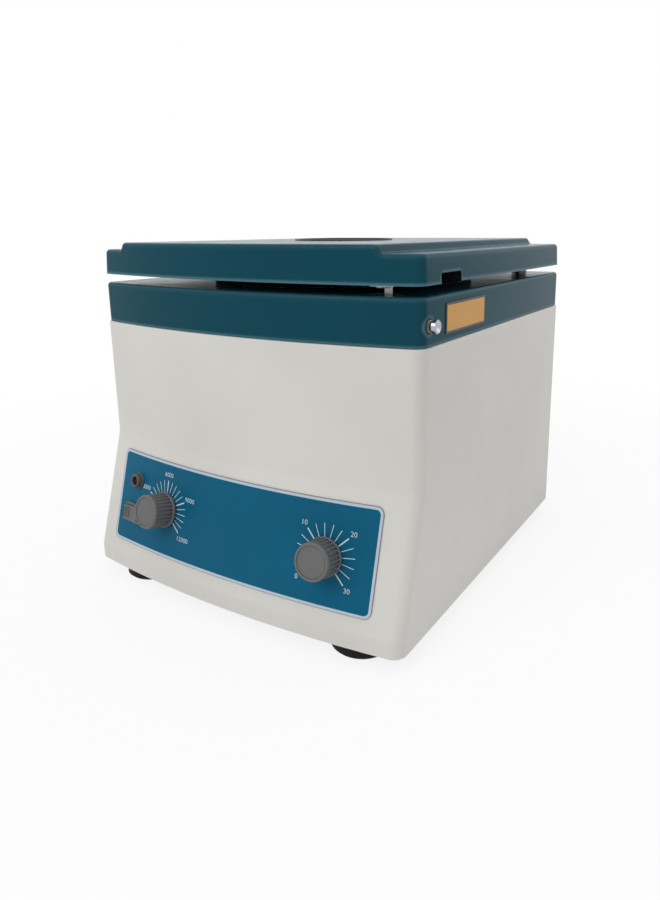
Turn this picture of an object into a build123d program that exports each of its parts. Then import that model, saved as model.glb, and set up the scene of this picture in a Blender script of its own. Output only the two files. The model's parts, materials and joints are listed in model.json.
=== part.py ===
# Bench centrifuge for capillary blood tubes: a hinged lid over a shallow chamber with a flat
# 24-slot rotor, on a housing with a kicked-out, gently bowed control front.
# Millimetres. +X right, +Y to the rear, +Z up. Z = 0 is the bench under the rubber feet.

from build123d import *
import os
from math import sqrt

os.makedirs("parts", exist_ok=True)

# Outer shell

HOUSING_WIDTH = 264.0
SIDE_DEPTH = 260.4
REAR_Y = 146.8
FRONT_BOW = 15.0
FOOT_BOW = 9.4
KICK = 24.7
KICK_HEIGHT = 11.0
BEND_HEIGHT = 95.0
HOUSING_HEIGHT = 179.4
CORNER_RADIUS = 9.0
REAR_CORNER_RADIUS = 6.0
BEND_ROUND = 25.0
KICK_ROUND = 12.0
EDGE_ROUND = 0.8
LEAST_ROUND = 0.4
WALL = 3.0
FOOT_HEIGHT = 10.5
FOOT_RADIUS = 20.5
FOOT_X = 94.0
FOOT_INSET_FRONT = 20.0
FOOT_INSET_REAR = 30.0
PAN_RECESS = 0.5
PAN_THICKNESS = 2.0
PAN_CLEARANCE = 0.4

# Teal band and deck

BAND_STEP = 1.0
BAND_HEIGHT = 28.5
DECK_THICKNESS = 3.0
DECK_ROUND = 2.5
TONGUE_DEPTH = 6.0
TONGUE_THICKNESS = 2.4
TONGUE_CLEARANCE = 0.3
SEAM_HEIGHT = 0.5
SEAM_DEPTH = 0.6
BOSS_RADIUS = 6.5
BOSS_SUNK = 1.0
BOSS_LENGTH = 16.0
FRAME_BOSS_BACK = 16.0
FRAME_BOSS_GAP = 0.3
LEDGE_CLEARANCE = 0.4
LEDGE_WALL = 3.0
LEDGE_DEPTH = 6.0

# Lid

LID_GAP = 6.1
LID_SIDE = 17.5
LID_RISE = 5.0
LID_DRAFT = 1.3
LID_ROUND = 3.0
SHELF_WIDTH = 27.7
STEP_RUN = 3.0
STEP_ROUND = 3.0
LID_BOSS_RADIUS = 4.5
LID_BOSS_FROM_SIDE = 18.0
LID_BOSS_FROM_FRONT = 14.0
LID_BOSS_FROM_REAR = 30.0
LINER_THICKNESS = 1.5
LINER_CLEARANCE = 0.5
NOTCH_FROM_FRONT = 38.5
NOTCH_WIDTH = 28.5
NOTCH_HEIGHT = 6.0
NOTCH_DEPTH = 15.0
NOTCH_WALL = 2.0
WINDOW_RADIUS = 38.0
WINDOW_FLANGE = 2.4
WINDOW_PROUD = 1.2
WINDOW_CHAMFER = 0.6
WINDOW_SEAT = 1.4
PANE_THICKNESS = 3.0

# Chamber

BOWL_RADIUS = 94.0
BOWL_THICKNESS = 1.2
BOWL_FLANGE = 6.6
BOWL_DEPTH = 46.0
BOWL_CORNER = 10.0
BOWL_CLEARANCE = 0.6
CHIMNEY_RADIUS = 16.0
GASKET_THICKNESS = 0.8
SEAL_FROM_BOWL = 3.0
SEAL_WIDTH = 5.0
SEAL_LIFT = 0.3

# Rotor and drive

ROTOR_GAP = 4.0
SLOT_COUNT = 24
SLOT_WIDTH = 1.9
SLOT_DEPTH = 2.2
SLOT_START = 13.0
SHAFT_RADIUS = 4.0
ROTOR_FLOOR_GAP = 5.0
ROTOR_THICKNESS = 6.0
RIM_HEIGHT = 3.5
RIM_WIDTH = 3.0
RING_WIDTH = 2.8
HUB_RADIUS = 14.0
HUB_HEIGHT = 7.0
NUT_RADIUS = 7.5
NUT_HEIGHT = 4.4
STUD_HEIGHT = 9.0
COVER_THICKNESS = 1.8
COVER_DISH_RADIUS = 22.0
COVER_SLOPE_RUN = 12.0
KNOB_NECK = 5.2
COVER_KNOB_RADIUS = 12.0
COVER_KNOB_HEIGHT = 10.5
RUNNING = 0.05
LOOSE = 0.3
MOTOR_RADIUS = 38.0
MOTOR_LENGTH = 66.0
MOTOR_WALL = 2.5
BELL_THICKNESS = 5.0
BEARING_RADIUS = 11.0
BEARING_WIDTH = 7.0
BRIDGE_SHEET = 3.0
BRIDGE_SPAN = 124.0
BRIDGE_WIDTH = 70.0
DAMPER_RADIUS = 8.0
DAMPER_HEIGHT = 8.0
BRIDGE_FOOT = 20.0

# Control front: distance from the overlay's end and height above the bench of each item

OVERLAY_INSET = 20.0
OVERLAY_BOTTOM = 31.0
OVERLAY_TOP = 95.6
OVERLAY_RADIUS = 5.0
OVERLAY_THICKNESS = 0.8
OVERLAY_GLUE = 0.05
SPEED_FROM_LEFT = 54.5
SPEED_Z = 63.0
TIMER_FROM_RIGHT = 34.4
TIMER_Z = 61.4
LAMP_FROM_LEFT = 22.0
LAMP_Z = 76.0
SWITCH_FROM_LEFT = 20.0
SWITCH_Z = 52.6
KNOB_RADIUS = 11.9
KNOB_LENGTH = 15.7
KNOB_GAP = 1.5
KNOB_FLUTES = 28
KNOB_CAVITY = 4.2
FLUTE_RADIUS = 0.85
SPINDLE_RADIUS = 3.0
BUSH_RADIUS = 4.5
LAMP_RADIUS = 5.2
LAMP_LENGTH = 5.0
PANEL_NUT_RADIUS = 7.2
PANEL_NUT_HEIGHT = 2.0
LAMP_BORE = 3.0
SWITCH_LENGTH = 17.5
SWITCH_WIDTH = 13.6
ROCKER_SWING = 7.4
ROCKER_WIDTH = 10.0
ROCKER_TILT = 8.0
ROCKER_PIVOT = 1.6
TRUNNION = 1.2

# Latch, hinges and small fittings

LATCH_FROM_FRONT = 9.7
LATCH_FROM_SIDE = 28.8
LATCH_HEIGHT = 201.5
LATCH_KNOB_RADIUS = 4.0
LATCH_REACH = 5.5
LATCH_BUSH_RADIUS = 5.0
LATCH_BUSH_LENGTH = 9.0
BRACKET_FROM_LATCH = 4.5
LATCH_TRAVEL = 4.0
HOOK_WIDTH = 4.2
HOOK_THICKNESS = 2.0
BARB_HEIGHT = 2.0
BARB_REACH = 4.0
BARB_LIFT = 0.5
CATCH_RISE = 1.2
CATCH_REACH = 2.6
COLLAR_THICKNESS = 2.2
ROD_RADIUS = 2.3
HINGE_FROM_SIDE = 35.5
HINGE_WIDTH = 7.0
HINGE_SPLIT = 0.3
HINGE_OFFSET = 4.5
KNUCKLE_RADIUS = 4.0
HINGE_PIN_RADIUS = 1.5
LEAF_THICKNESS = 2.4
LEAF_REACH = 12.0
PLATE_FROM_FRONT = 30.4
PLATE_LENGTH = 59.8
PLATE_HEIGHT = 18.3
PLATE_BOTTOM = 194.2
PLATE_THICKNESS = 0.6
INLET_FROM_SIDE = 47.0
INLET_Z = 46.0
INLET_WIDTH = 27.0
INLET_HEIGHT = 19.5
INLET_FLANGE = 50.0
INLET_SCREW = 20.0
INLET_DEPTH = 20.0
FUSE_FROM_INLET = 37.0
FUSE_RADIUS = 6.4
VENT_LENGTH = 46.0
VENT_HEIGHT = 3.2
VENT_ROWS = 7
VENT_PITCH = 8.0
VENT_X = 32.0
VENT_Z = 96.0
SCREW_RADIUS = 2.0
SCREW_HEAD = 3.6
SMALL_SCREW = 1.5
SMALL_HEAD = 2.8

# Control board

BOARD_FROM_SIDE = 32.0
BOARD_FROM_FRONT = 60.3
BOARD_DEPTH = 44.0
BOARD_STANDOFF = 8.0
BOARD_THICKNESS = 1.6
BOARD_SCREW_INSET = 5.0

# Levels and places that follow from the sizes

BASE_Z = FOOT_HEIGHT - PAN_RECESS
KICK_Z = BASE_Z + KICK_HEIGHT
BEND_Z = BASE_Z + BEND_HEIGHT
BAND_Z = BASE_Z + HOUSING_HEIGHT
DECK_Z = BAND_Z + BAND_HEIGHT
LID_Z = DECK_Z + LID_GAP
SHELF_Z = LID_Z + LID_SIDE
PLATEAU_Z = SHELF_Z + LID_RISE
PAN_TOP = FOOT_HEIGHT + PAN_THICKNESS
UPPER_FRONT_Y = REAR_Y - SIDE_DEPTH
FOOT_FRONT_Y = UPPER_FRONT_Y - KICK
CHAMBER_Y = (REAR_Y + UPPER_FRONT_Y - FRONT_BOW) / 2
HALF_WIDTH = HOUSING_WIDTH / 2
BAND_X = HALF_WIDTH - BAND_STEP
BOWL_FLOOR_Z = DECK_Z - BOWL_DEPTH
LINER_TOP = LID_Z + LINER_THICKNESS
ROTOR_HUB_Z = BOWL_FLOOR_Z + ROTOR_FLOOR_GAP
ROTOR_BOTTOM = ROTOR_HUB_Z + HUB_HEIGHT
ROTOR_TOP = ROTOR_BOTTOM + ROTOR_THICKNESS
RIM_TOP = ROTOR_TOP + RIM_HEIGHT
STUD_TOP = RIM_TOP + STUD_HEIGHT
ROTOR_RADIUS = BOWL_RADIUS - ROTOR_GAP
GROOVE_OUTER = ROTOR_RADIUS - RIM_WIDTH
GROOVE_FLOOR = ROTOR_TOP - SLOT_DEPTH - 0.6
KNOB_FLANGE_LOW = ROTOR_TOP + NUT_HEIGHT + 0.6
COVER_CENTRE_LOW = KNOB_FLANGE_LOW + 1.0 + LOOSE
SEAL_RADIUS = BOWL_RADIUS + SEAL_FROM_BOWL
BRIDGE_TOP = BOWL_FLOOR_Z - BOWL_THICKNESS - 9.0
MOTOR_TOP = BRIDGE_TOP - BRIDGE_SHEET
CAN_TOP = MOTOR_TOP - BELL_THICKNESS
CAN_BOTTOM = CAN_TOP - MOTOR_LENGTH
MOTOR_BOTTOM = CAN_BOTTOM - BELL_THICKNESS
BRIDGE_FOOT_Z = PAN_TOP + DAMPER_HEIGHT
PLATEAU_HALF = BAND_X - SHELF_WIDTH
TUNNEL_RADIUS = WINDOW_RADIUS - WINDOW_FLANGE
PANE_TOP = PLATEAU_Z + WINDOW_PROUD - 0.8
LATCH_Y = UPPER_FRONT_Y + LATCH_FROM_FRONT
LATCH_X = BAND_X - LATCH_FROM_SIDE
LATCH_SLOT = ((LATCH_X - 9.0, LATCH_X + 6.0), (LATCH_Y - 2.0, LATCH_Y + 8.5))
BRACKET_X = LATCH_X + BRACKET_FROM_LATCH
BRACKET_SCREW = (BRACKET_X + 5.0, LATCH_Y)
BUSH_INNER_X = BAND_X - LATCH_BUSH_LENGTH
KNOB_SEAT_X = BAND_X - 5.0
NECK_X = BAND_X - 1.2
RECESS_X = NECK_X - LATCH_TRAVEL - 0.2
CATCH_TOP = LATCH_HEIGHT + CATCH_RISE
BARB_LOW = CATCH_TOP + BARB_LIFT
STRIP_LOW = LATCH_Y + ROD_RADIUS + 1.0
HOOK_SCREW = (LATCH_X - HOOK_WIDTH / 2 - 5.0, STRIP_LOW + HOOK_THICKNESS + 2.2)
HINGE_X = HALF_WIDTH - HINGE_FROM_SIDE
HINGE_Y = REAR_Y + HINGE_OFFSET
HINGE_Z = (DECK_Z + LID_Z) / 2
HINGE_PART = HINGE_WIDTH * 0.38
HINGE_SCREWS = [(side * HINGE_X, REAR_Y - LEAF_REACH + SMALL_HEAD) for side in (-1, 1)]
LEAF_END_Y = HINGE_Y - KNUCKLE_RADIUS - 0.7
OVERLAY_HALF = HALF_WIDTH - OVERLAY_INSET
SPEED_X = SPEED_FROM_LEFT - OVERLAY_HALF
TIMER_X = OVERLAY_HALF - TIMER_FROM_RIGHT
LAMP_X = LAMP_FROM_LEFT - OVERLAY_HALF
SWITCH_X = SWITCH_FROM_LEFT - OVERLAY_HALF
KNOB_BACK = OVERLAY_THICKNESS + KNOB_GAP
KNOB_FRONT = KNOB_BACK + KNOB_LENGTH
WALL_BACK = -WALL - 0.7
PANEL_NUT_LOW = OVERLAY_THICKNESS + 0.3
PANEL_NUT_HIGH = PANEL_NUT_LOW + PANEL_NUT_HEIGHT
INLET_X = INLET_FROM_SIDE - HALF_WIDTH
FUSE_X = INLET_X + FUSE_FROM_INLET
BOARD_X = (BOARD_FROM_SIDE - HALF_WIDTH, HALF_WIDTH - BOARD_FROM_SIDE)
BOARD_Y = (FOOT_FRONT_Y + BOARD_FROM_FRONT, FOOT_FRONT_Y + BOARD_FROM_FRONT + BOARD_DEPTH)
BOARD_Z = PAN_TOP + BOARD_STANDOFF
LONG = 400.0
TINY = 0.01


# Plain solids

def rod(radius, low, high, x=0.0, y=0.0):
    return Pos(x, y, (low + high) / 2) * Cylinder(radius, high - low)


def tube(outer, inner, low, high, x=0.0, y=0.0):
    return rod(outer, low, high, x, y) - rod(inner, low - 1, high + 1, x, y)


def rod_x(radius, low, high, y, z):
    return Pos((low + high) / 2, y, z) * Rot(0, 90, 0) * Cylinder(radius, high - low)


def rod_y(radius, low, high, x, z):
    return Pos(x, (low + high) / 2, z) * Rot(90, 0, 0) * Cylinder(radius, high - low)


def block(x, y, z):
    """A box from its low and high X, Y and Z."""
    size = (x[1] - x[0], y[1] - y[0], z[1] - z[0])
    centre = ((x[0] + x[1]) / 2, (y[0] + y[1]) / 2, (z[0] + z[1]) / 2)
    return Pos(*centre) * Box(*size)


def turned(profile, x=0.0, y=0.0):
    """A solid of revolution about a vertical axis from its (radius, height) outline."""
    section = make_face(Polyline(*[(r, 0, z) for r, z in profile], close=True))
    return Pos(x, y, 0) * revolve(section, Axis.Z)


def ring_of(shape, count, x=0.0, y=0.0, start=0.0):
    """Copies of a shape about the vertical axis through (x, y)."""
    turn = 360 / count
    return [Pos(x, y, 0) * Rot(0, 0, start + i * turn) * shape for i in range(count)]


def screw(length, head_radius=SCREW_HEAD, shank_radius=SCREW_RADIUS, head=2.2):
    """A cross-head screw: its seat is at Z = 0 and its shank points down."""
    edge = head * 0.4
    profile = [
        (0, -length), (shank_radius, -length), (shank_radius, 0), (head_radius, 0),
        (head_radius, head - edge), (head_radius - edge, head), (0, head),
    ]
    body = turned(profile)
    slot = head_radius * 1.1
    deep = head * 0.5
    for size in ((slot, 1.0), (1.0, slot)):
        body -= Pos(0, 0, head) * Box(size[0], size[1], 2 * deep)
    return body


def countersunk(length, spare=0.0):
    """A flush screw: its flat head is at Z = 0 and its shank points down."""
    sunk = SMALL_HEAD - SMALL_SCREW
    shank = SMALL_SCREW + spare
    profile = [(0, 0), (SMALL_HEAD + spare, 0), (shank, -sunk), (shank, -length), (0, -length)]
    return turned(profile)


def save(name, *shapes):
    """Write one node; several solids become one group."""
    solids = [solid for shape in shapes for solid in shape.solids()]
    export_step(solids[0] if len(solids) == 1 else Compound(solids), f"parts/{name}.step")


# The shell's plan at one height: straight sides and rear, bowed front, rounded corners

def plan(z, inset, corner_y, bow, corner_radius):
    half = HALF_WIDTH - inset
    bow_radius = (HALF_WIDTH ** 2 + bow ** 2) / (2 * bow)
    centre_y = corner_y - bow + bow_radius
    radius = bow_radius - inset
    side_y = centre_y - sqrt(radius ** 2 - half ** 2)
    rear = REAR_Y - inset
    sides = Polyline((-half, side_y), (-half, rear), (half, rear), (half, side_y))
    front = ThreePointArc((half, side_y), (0, centre_y - radius), (-half, side_y))
    face = make_face(sides + front)
    if corner_radius > inset:
        face = fillet(face.vertices().sort_by(Axis.Y)[:2], corner_radius - inset)
    rear_points = [v for v in face.vertices() if abs(v.Y - rear) < TINY]
    face = fillet(rear_points, max(REAR_CORNER_RADIUS - inset, LEAST_ROUND))
    return Pos(0, 0, z) * face


def upper_plan(z, inset, corner_radius=CORNER_RADIUS):
    return plan(z, inset, UPPER_FRONT_Y, FRONT_BOW, corner_radius)


def foot_plan(z, inset, corner_radius=CORNER_RADIUS):
    return plan(z, inset, FOOT_FRONT_Y, FOOT_BOW, corner_radius)


def round_front(solid, level, radius):
    front = [
        edge for edge in solid.edges()
        if abs(edge.center().Z - level) < TINY
        and edge.bounding_box().size.Z < TINY
        and edge.center().Y < UPPER_FRONT_Y
    ]
    return fillet(front, radius)


def shell_form(inset, low, high):
    """The housing's outline between two levels, its bend, kick and front corners rounded."""
    levels = [
        foot_plan(low, inset, 0),
        foot_plan(KICK_Z, inset, 0),
        upper_plan(BEND_Z, inset, 0),
        upper_plan(high, inset, 0),
    ]
    form = loft(levels, ruled=True)
    form = round_front(form, BEND_Z, BEND_ROUND + inset)
    form = round_front(form, KICK_Z, KICK_ROUND - inset)
    side = HALF_WIDTH - inset
    corners = [
        edge for edge in form.edges()
        if abs(abs(edge.center().X) - side) < TINY
        and edge.center().Y < UPPER_FRONT_Y + CORNER_RADIUS
        and edge.bounding_box().size.Z > TINY
    ]
    return fillet(corners, CORNER_RADIUS - inset)


def front_y(x, z):
    """The sloping front face at X and a height between the kick and the bend."""
    share = (z - KICK_Z) / (BEND_Z - KICK_Z)
    corner_y = FOOT_FRONT_Y + KICK * share
    bow = FOOT_BOW + (FRONT_BOW - FOOT_BOW) * share
    radius = (HALF_WIDTH ** 2 + bow ** 2) / (2 * bow)
    return corner_y - (sqrt(radius ** 2 - x ** 2) - (radius - bow))


def on_panel(x, z):
    """A place on the sloping front, with local Z along the outward normal and local X level."""
    step = 0.5
    slope = (front_y(x, z + step) - front_y(x, z - step)) / (2 * step)
    lean = (front_y(x + step, z) - front_y(x - step, z)) / (2 * step)
    normal = Vector(lean, -1, slope).normalized()
    return Plane(origin=(x, front_y(x, z), z), x_dir=(1, lean, 0), z_dir=normal).location


# Places that several pieces share

def foot_places():
    front = FOOT_FRONT_Y + FOOT_INSET_FRONT
    rear = REAR_Y - FOOT_INSET_REAR
    return [(side * FOOT_X, y) for side in (-1, 1) for y in (front, rear)]


def corner_places(front):
    """Boss centres in the four corners, each boss sunk into its side wall."""
    inset = WALL + BOSS_RADIUS - BOSS_SUNK
    half = HALF_WIDTH - inset
    return [(side * half, y) for side in (-1, 1) for y in (front + inset, REAR_Y - inset)]


PAN_PLACES = corner_places(FOOT_FRONT_Y)
FRAME_PLACES = corner_places(UPPER_FRONT_Y + FRAME_BOSS_BACK)
PAN_BOSS_TOP = PAN_TOP + BOSS_LENGTH
FRAME_JOINT_Z = BAND_Z - TONGUE_DEPTH - FRAME_BOSS_GAP
FRAME_BOSS_LOW = FRAME_JOINT_Z - BOSS_LENGTH


def vent_slots():
    slots = []
    for column in (-1, 1):
        for row in range(VENT_ROWS):
            slot = SlotOverall(VENT_LENGTH, VENT_HEIGHT)
            wall = extrude(slot, 4 * WALL, both=True)
            place = Pos(column * VENT_X, REAR_Y, VENT_Z + row * VENT_PITCH) * Rot(90, 0, 0)
            slots.append(place * wall)
    return slots


# Housing and base

def main_housing():
    shell = shell_form(0, BASE_Z, BAND_Z)
    rims = [
        edge for edge in shell.edges()
        if edge.bounding_box().size.Z < TINY
        and min(abs(edge.center().Z - BAND_Z), abs(edge.center().Z - BASE_Z)) < TINY
    ]
    shell = fillet(rims, EDGE_ROUND)
    hollow = shell_form(WALL, BASE_Z - 1, BAND_Z + 1)
    bosses = [rod(BOSS_RADIUS, PAN_TOP, PAN_BOSS_TOP, x, y) for x, y in PAN_PLACES]
    bosses += [rod(BOSS_RADIUS, FRAME_BOSS_LOW, FRAME_JOINT_Z, x, y) for x, y in FRAME_PLACES]
    envelope = shell_form(WALL / 2, PAN_TOP, FRAME_JOINT_Z)
    housing = shell - hollow
    for boss in bosses:
        housing += boss & envelope
    for x, y in PAN_PLACES:
        housing -= rod(SCREW_RADIUS, PAN_TOP - 1, PAN_TOP + 12, x, y)
    for x, y in FRAME_PLACES:
        housing -= rod(SCREW_RADIUS + 0.3, FRAME_BOSS_LOW - 1, FRAME_JOINT_Z + 1, x, y)
    for x, z in ((SPEED_X, SPEED_Z), (TIMER_X, TIMER_Z)):
        housing -= on_panel(x, z) * rod(BUSH_RADIUS + LOOSE, -8, 4)
    housing -= on_panel(LAMP_X, LAMP_Z) * rod(LAMP_RADIUS - 1 + LOOSE, -8, 4)
    housing -= on_panel(SWITCH_X, SWITCH_Z) * switch_opening()
    housing -= Pos(INLET_X, REAR_Y, INLET_Z) * Box(INLET_WIDTH + 1, 4 * WALL, INLET_HEIGHT + 1)
    for side in (-1, 1):
        hole_x = INLET_X + side * INLET_SCREW
        housing -= rod_y(SCREW_RADIUS - 0.3, REAR_Y - 4 * WALL, REAR_Y + 1, hole_x, INLET_Z)
    housing -= rod_y(FUSE_RADIUS + 0.2, REAR_Y - 4 * WALL, REAR_Y + 1, FUSE_X, INLET_Z)
    for slot in vent_slots():
        housing -= slot
    return housing


def base_pan():
    outline = foot_plan(FOOT_HEIGHT, WALL + PAN_CLEARANCE)
    pan = extrude(outline, PAN_THICKNESS)
    for x, y in PAN_PLACES:
        pan -= rod(SCREW_RADIUS + 0.3, FOOT_HEIGHT - 1, PAN_TOP + 1, x, y)
    for x, y in foot_places():
        pan -= rod(SCREW_RADIUS + 0.2, FOOT_HEIGHT - 1, PAN_TOP + 1, x, y)
    for row in range(-3, 4):
        slot = Pos(0, CHAMBER_Y + row * 12.0, FOOT_HEIGHT) * SlotOverall(60, 4)
        pan -= extrude(slot, 3 * PAN_THICKNESS, both=True)
    return pan


def foot(x, y):
    profile = [
        (5.5, 0), (FOOT_RADIUS - 2, 0), (FOOT_RADIUS, 2), (FOOT_RADIUS - 1, FOOT_HEIGHT),
        (SCREW_RADIUS + 0.2, FOOT_HEIGHT), (SCREW_RADIUS + 0.2, 5.5), (5.5, 5.5),
    ]
    return turned(profile, x, y)


def fixed_screw(x, y, seat, length, upward=True):
    """A vertical screw: upward means that its head is below and its shank points up."""
    turn = Rot(180, 0, 0) if upward else Rot(0, 0, 0)
    return Pos(x, y, seat) * turn * screw(length)


# Top frame

def top_frame():
    inset = BAND_STEP
    band = extrude(upper_plan(BAND_Z + SEAM_HEIGHT, inset), BAND_HEIGHT - SEAM_HEIGHT)
    rim = [edge for edge in band.edges() if abs(edge.center().Z - DECK_Z) < TINY]
    band = fillet(rim, DECK_ROUND)
    band += extrude(upper_plan(BAND_Z, inset + SEAM_DEPTH), SEAM_HEIGHT + 1)
    hollow = extrude(upper_plan(BAND_Z - 1, inset + WALL), BAND_HEIGHT - DECK_THICKNESS + 1)
    frame = band - hollow
    tongue_inset = WALL + TONGUE_CLEARANCE
    tongue = extrude(upper_plan(BAND_Z - TONGUE_DEPTH, tongue_inset), TONGUE_DEPTH + WALL)
    inside = upper_plan(BAND_Z - TONGUE_DEPTH - 1, tongue_inset + TONGUE_THICKNESS)
    tongue -= extrude(inside, TONGUE_DEPTH + WALL + 2)
    frame += tongue
    for x, y in FRAME_PLACES:
        frame += rod(BOSS_RADIUS - 1.5, FRAME_JOINT_Z, DECK_Z - DECK_THICKNESS + 0.5, x, y)
        frame -= rod(SCREW_RADIUS, FRAME_JOINT_Z - 1, FRAME_JOINT_Z + 16, x, y)
    bowl_hole = BOWL_RADIUS + BOWL_THICKNESS + BOWL_CLEARANCE
    ledge = BOWL_RADIUS + BOWL_FLANGE + LEDGE_CLEARANCE
    low = DECK_Z - DECK_THICKNESS - LEDGE_DEPTH
    collar_top = DECK_Z - DECK_THICKNESS + 0.5
    frame += tube(ledge + LEDGE_WALL, bowl_hole, low, collar_top, 0, CHAMBER_Y)
    frame -= rod(bowl_hole, low - 1, DECK_Z + 1, 0, CHAMBER_Y)
    frame -= rod(ledge, DECK_Z - BOWL_THICKNESS - GASKET_THICKNESS, DECK_Z + 1, 0, CHAMBER_Y)
    slot_x, slot_y = LATCH_SLOT
    slot = block(slot_x, slot_y, (DECK_Z - 2 * DECK_THICKNESS, DECK_Z + 1))
    frame -= fillet(slot.edges().filter_by(Axis.Z), 1.5)
    frame -= rod_x(LATCH_BUSH_RADIUS, BUSH_INNER_X - 2, BAND_X + 5, LATCH_Y, LATCH_HEIGHT)
    for x, y in HINGE_SCREWS:
        frame -= rod(SMALL_SCREW, DECK_Z - 2 * DECK_THICKNESS, DECK_Z + 1, x, y)
    frame -= Pos(*BRACKET_SCREW, DECK_Z) * countersunk(2 * DECK_THICKNESS, RUNNING)
    return frame


# Lid

def lid_boss_places():
    x = BAND_X - LID_BOSS_FROM_SIDE
    rows = (UPPER_FRONT_Y + LID_BOSS_FROM_FRONT, CHAMBER_Y, REAR_Y - LID_BOSS_FROM_REAR)
    return [(side * x, y) for side in (-1, 1) for y in rows]


def fitting_places():
    """Where the hinges and the hook are screwed up into the lid's raised middle."""
    return HINGE_SCREWS + [HOOK_SCREW]


def lid_block(inset, low, high):
    """The lid's outline with its raised middle running from front to back."""
    span = PLATEAU_Z - LID_Z
    draft = LID_DRAFT / span
    foot_inset = BAND_STEP + inset + draft * (low - LID_Z)
    top_inset = BAND_STEP + inset + draft * (high - LID_Z)
    return loft([upper_plan(low, foot_inset), upper_plan(high, top_inset)], ruled=True)


def shelf_cut(plateau_half, shelf, top):
    """The space beside the raised middle, to the right, above the side shelf."""
    outline = Polyline(
        (plateau_half + STEP_RUN, 0, shelf), (plateau_half, 0, top), (plateau_half, 0, top + 5),
        (LONG, 0, top + 5), (LONG, 0, shelf), close=True,
    )
    cut = extrude(make_face(outline), LONG, both=True, dir=(0, 1, 0))
    foot_edge = [
        edge for edge in cut.edges()
        if edge.length > LONG and abs(edge.center().X - plateau_half - STEP_RUN) < TINY
    ]
    return fillet(foot_edge, STEP_ROUND)


def stepped_lid(inset, low, top, shelf, plateau_half):
    solid = lid_block(inset, low, top)
    cut = shelf_cut(plateau_half, shelf, top)
    return solid - cut - mirror(cut, Plane.YZ)


def lid_shell():
    lid = stepped_lid(0, LID_Z, PLATEAU_Z, SHELF_Z, PLATEAU_HALF)
    crest = [
        edge for edge in lid.edges()
        if abs(edge.center().Z - PLATEAU_Z) < TINY
        and abs(abs(edge.center().X) - PLATEAU_HALF) < TINY
    ]
    lid = fillet(crest, STEP_ROUND)
    steepest = 0.2
    walls = [
        face for face in lid.faces()
        if abs(face.normal_at().Z) < steepest and face.bounding_box().min.Z < LID_Z + TINY
    ]
    edges = {}
    for face in walls:
        for edge in face.edges():
            if edge.center().Z > SHELF_Z - TINY:
                edges[(round(edge.center().X, 3), round(edge.center().Y, 3))] = edge
    lid = fillet(list(edges.values()), LID_ROUND)
    hollow = stepped_lid(WALL, LID_Z - 1, PLATEAU_Z - WALL, SHELF_Z - WALL, PLATEAU_HALF - WALL)
    lid -= hollow
    bosses = [(x, y, SHELF_Z) for x, y in lid_boss_places()]
    bosses += [(x, y, PLATEAU_Z) for x, y in fitting_places()]
    for x, y, roof in bosses:
        lid += rod(LID_BOSS_RADIUS, LINER_TOP, roof - WALL / 2, x, y)
        lid -= rod(SMALL_SCREW, LINER_TOP - 1, LINER_TOP + 10, x, y)
    lid += notch_pocket(0) & lid_block(WALL / 2, LID_Z, SHELF_Z)
    lid -= notch()
    return lid - rod(TUNNEL_RADIUS + 0.2, LID_Z, PLATEAU_Z + 1, 0, CHAMBER_Y)


def notch():
    """The finger notch in the lid's right side."""
    front = UPPER_FRONT_Y + NOTCH_FROM_FRONT - NOTCH_WIDTH / 2
    x = (BAND_X - NOTCH_DEPTH, BAND_X + 5)
    space = block(x, (front, front + NOTCH_WIDTH), (LID_Z - 1, LID_Z + NOTCH_HEIGHT))
    return fillet(space.edges().filter_by(Axis.X), 2.0)


def notch_pocket(clearance):
    """The block that the pocket's walls and roof are cut from."""
    wall = NOTCH_WALL + clearance
    front = UPPER_FRONT_Y + NOTCH_FROM_FRONT - NOTCH_WIDTH / 2
    x = (BAND_X - NOTCH_DEPTH - wall, BAND_X)
    y = (front - wall, front + NOTCH_WIDTH + wall)
    return block(x, y, (LID_Z, LID_Z + NOTCH_HEIGHT + NOTCH_WALL))


def lid_liner():
    liner = extrude(upper_plan(LID_Z, BAND_STEP + WALL + LINER_CLEARANCE), LINER_THICKNESS)
    liner -= rod(TUNNEL_RADIUS + 0.2, LID_Z - 1, LINER_TOP + 1, 0, CHAMBER_Y)
    liner -= Pos(0, 0, -1) * notch_pocket(LINER_CLEARANCE)
    for x, y in lid_boss_places() + fitting_places():
        liner -= rod(SMALL_SCREW + RUNNING, LID_Z - 1, LINER_TOP + 1, x, y)
    return liner


def lid_seal():
    inner = SEAL_RADIUS - SEAL_WIDTH / 2
    outer = SEAL_RADIUS + SEAL_WIDTH / 2
    low = DECK_Z + SEAL_LIFT
    ring = tube(outer, inner, low, LID_Z, 0, CHAMBER_Y)
    lip = [edge for edge in ring.edges() if abs(edge.center().Z - low) < TINY]
    return fillet(lip, SEAL_WIDTH * 0.35)


def window_ring():
    top = PLATEAU_Z + WINDOW_PROUD
    edge = WINDOW_CHAMFER
    seat = PANE_TOP - PANE_THICKNESS
    mouth = TUNNEL_RADIUS - 1.0
    bore = mouth - WINDOW_SEAT
    profile = [
        (TUNNEL_RADIUS, LID_Z), (TUNNEL_RADIUS, PLATEAU_Z), (WINDOW_RADIUS, PLATEAU_Z),
        (WINDOW_RADIUS, top - edge), (WINDOW_RADIUS - edge, top), (mouth, top), (mouth, seat),
        (bore, seat), (bore, LID_Z),
    ]
    return turned(profile, 0, CHAMBER_Y)


def window_pane():
    radius = TUNNEL_RADIUS - 1.0 - 0.1
    return rod(radius, PANE_TOP - PANE_THICKNESS, PANE_TOP, 0, CHAMBER_Y)


# Hinges


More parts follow.
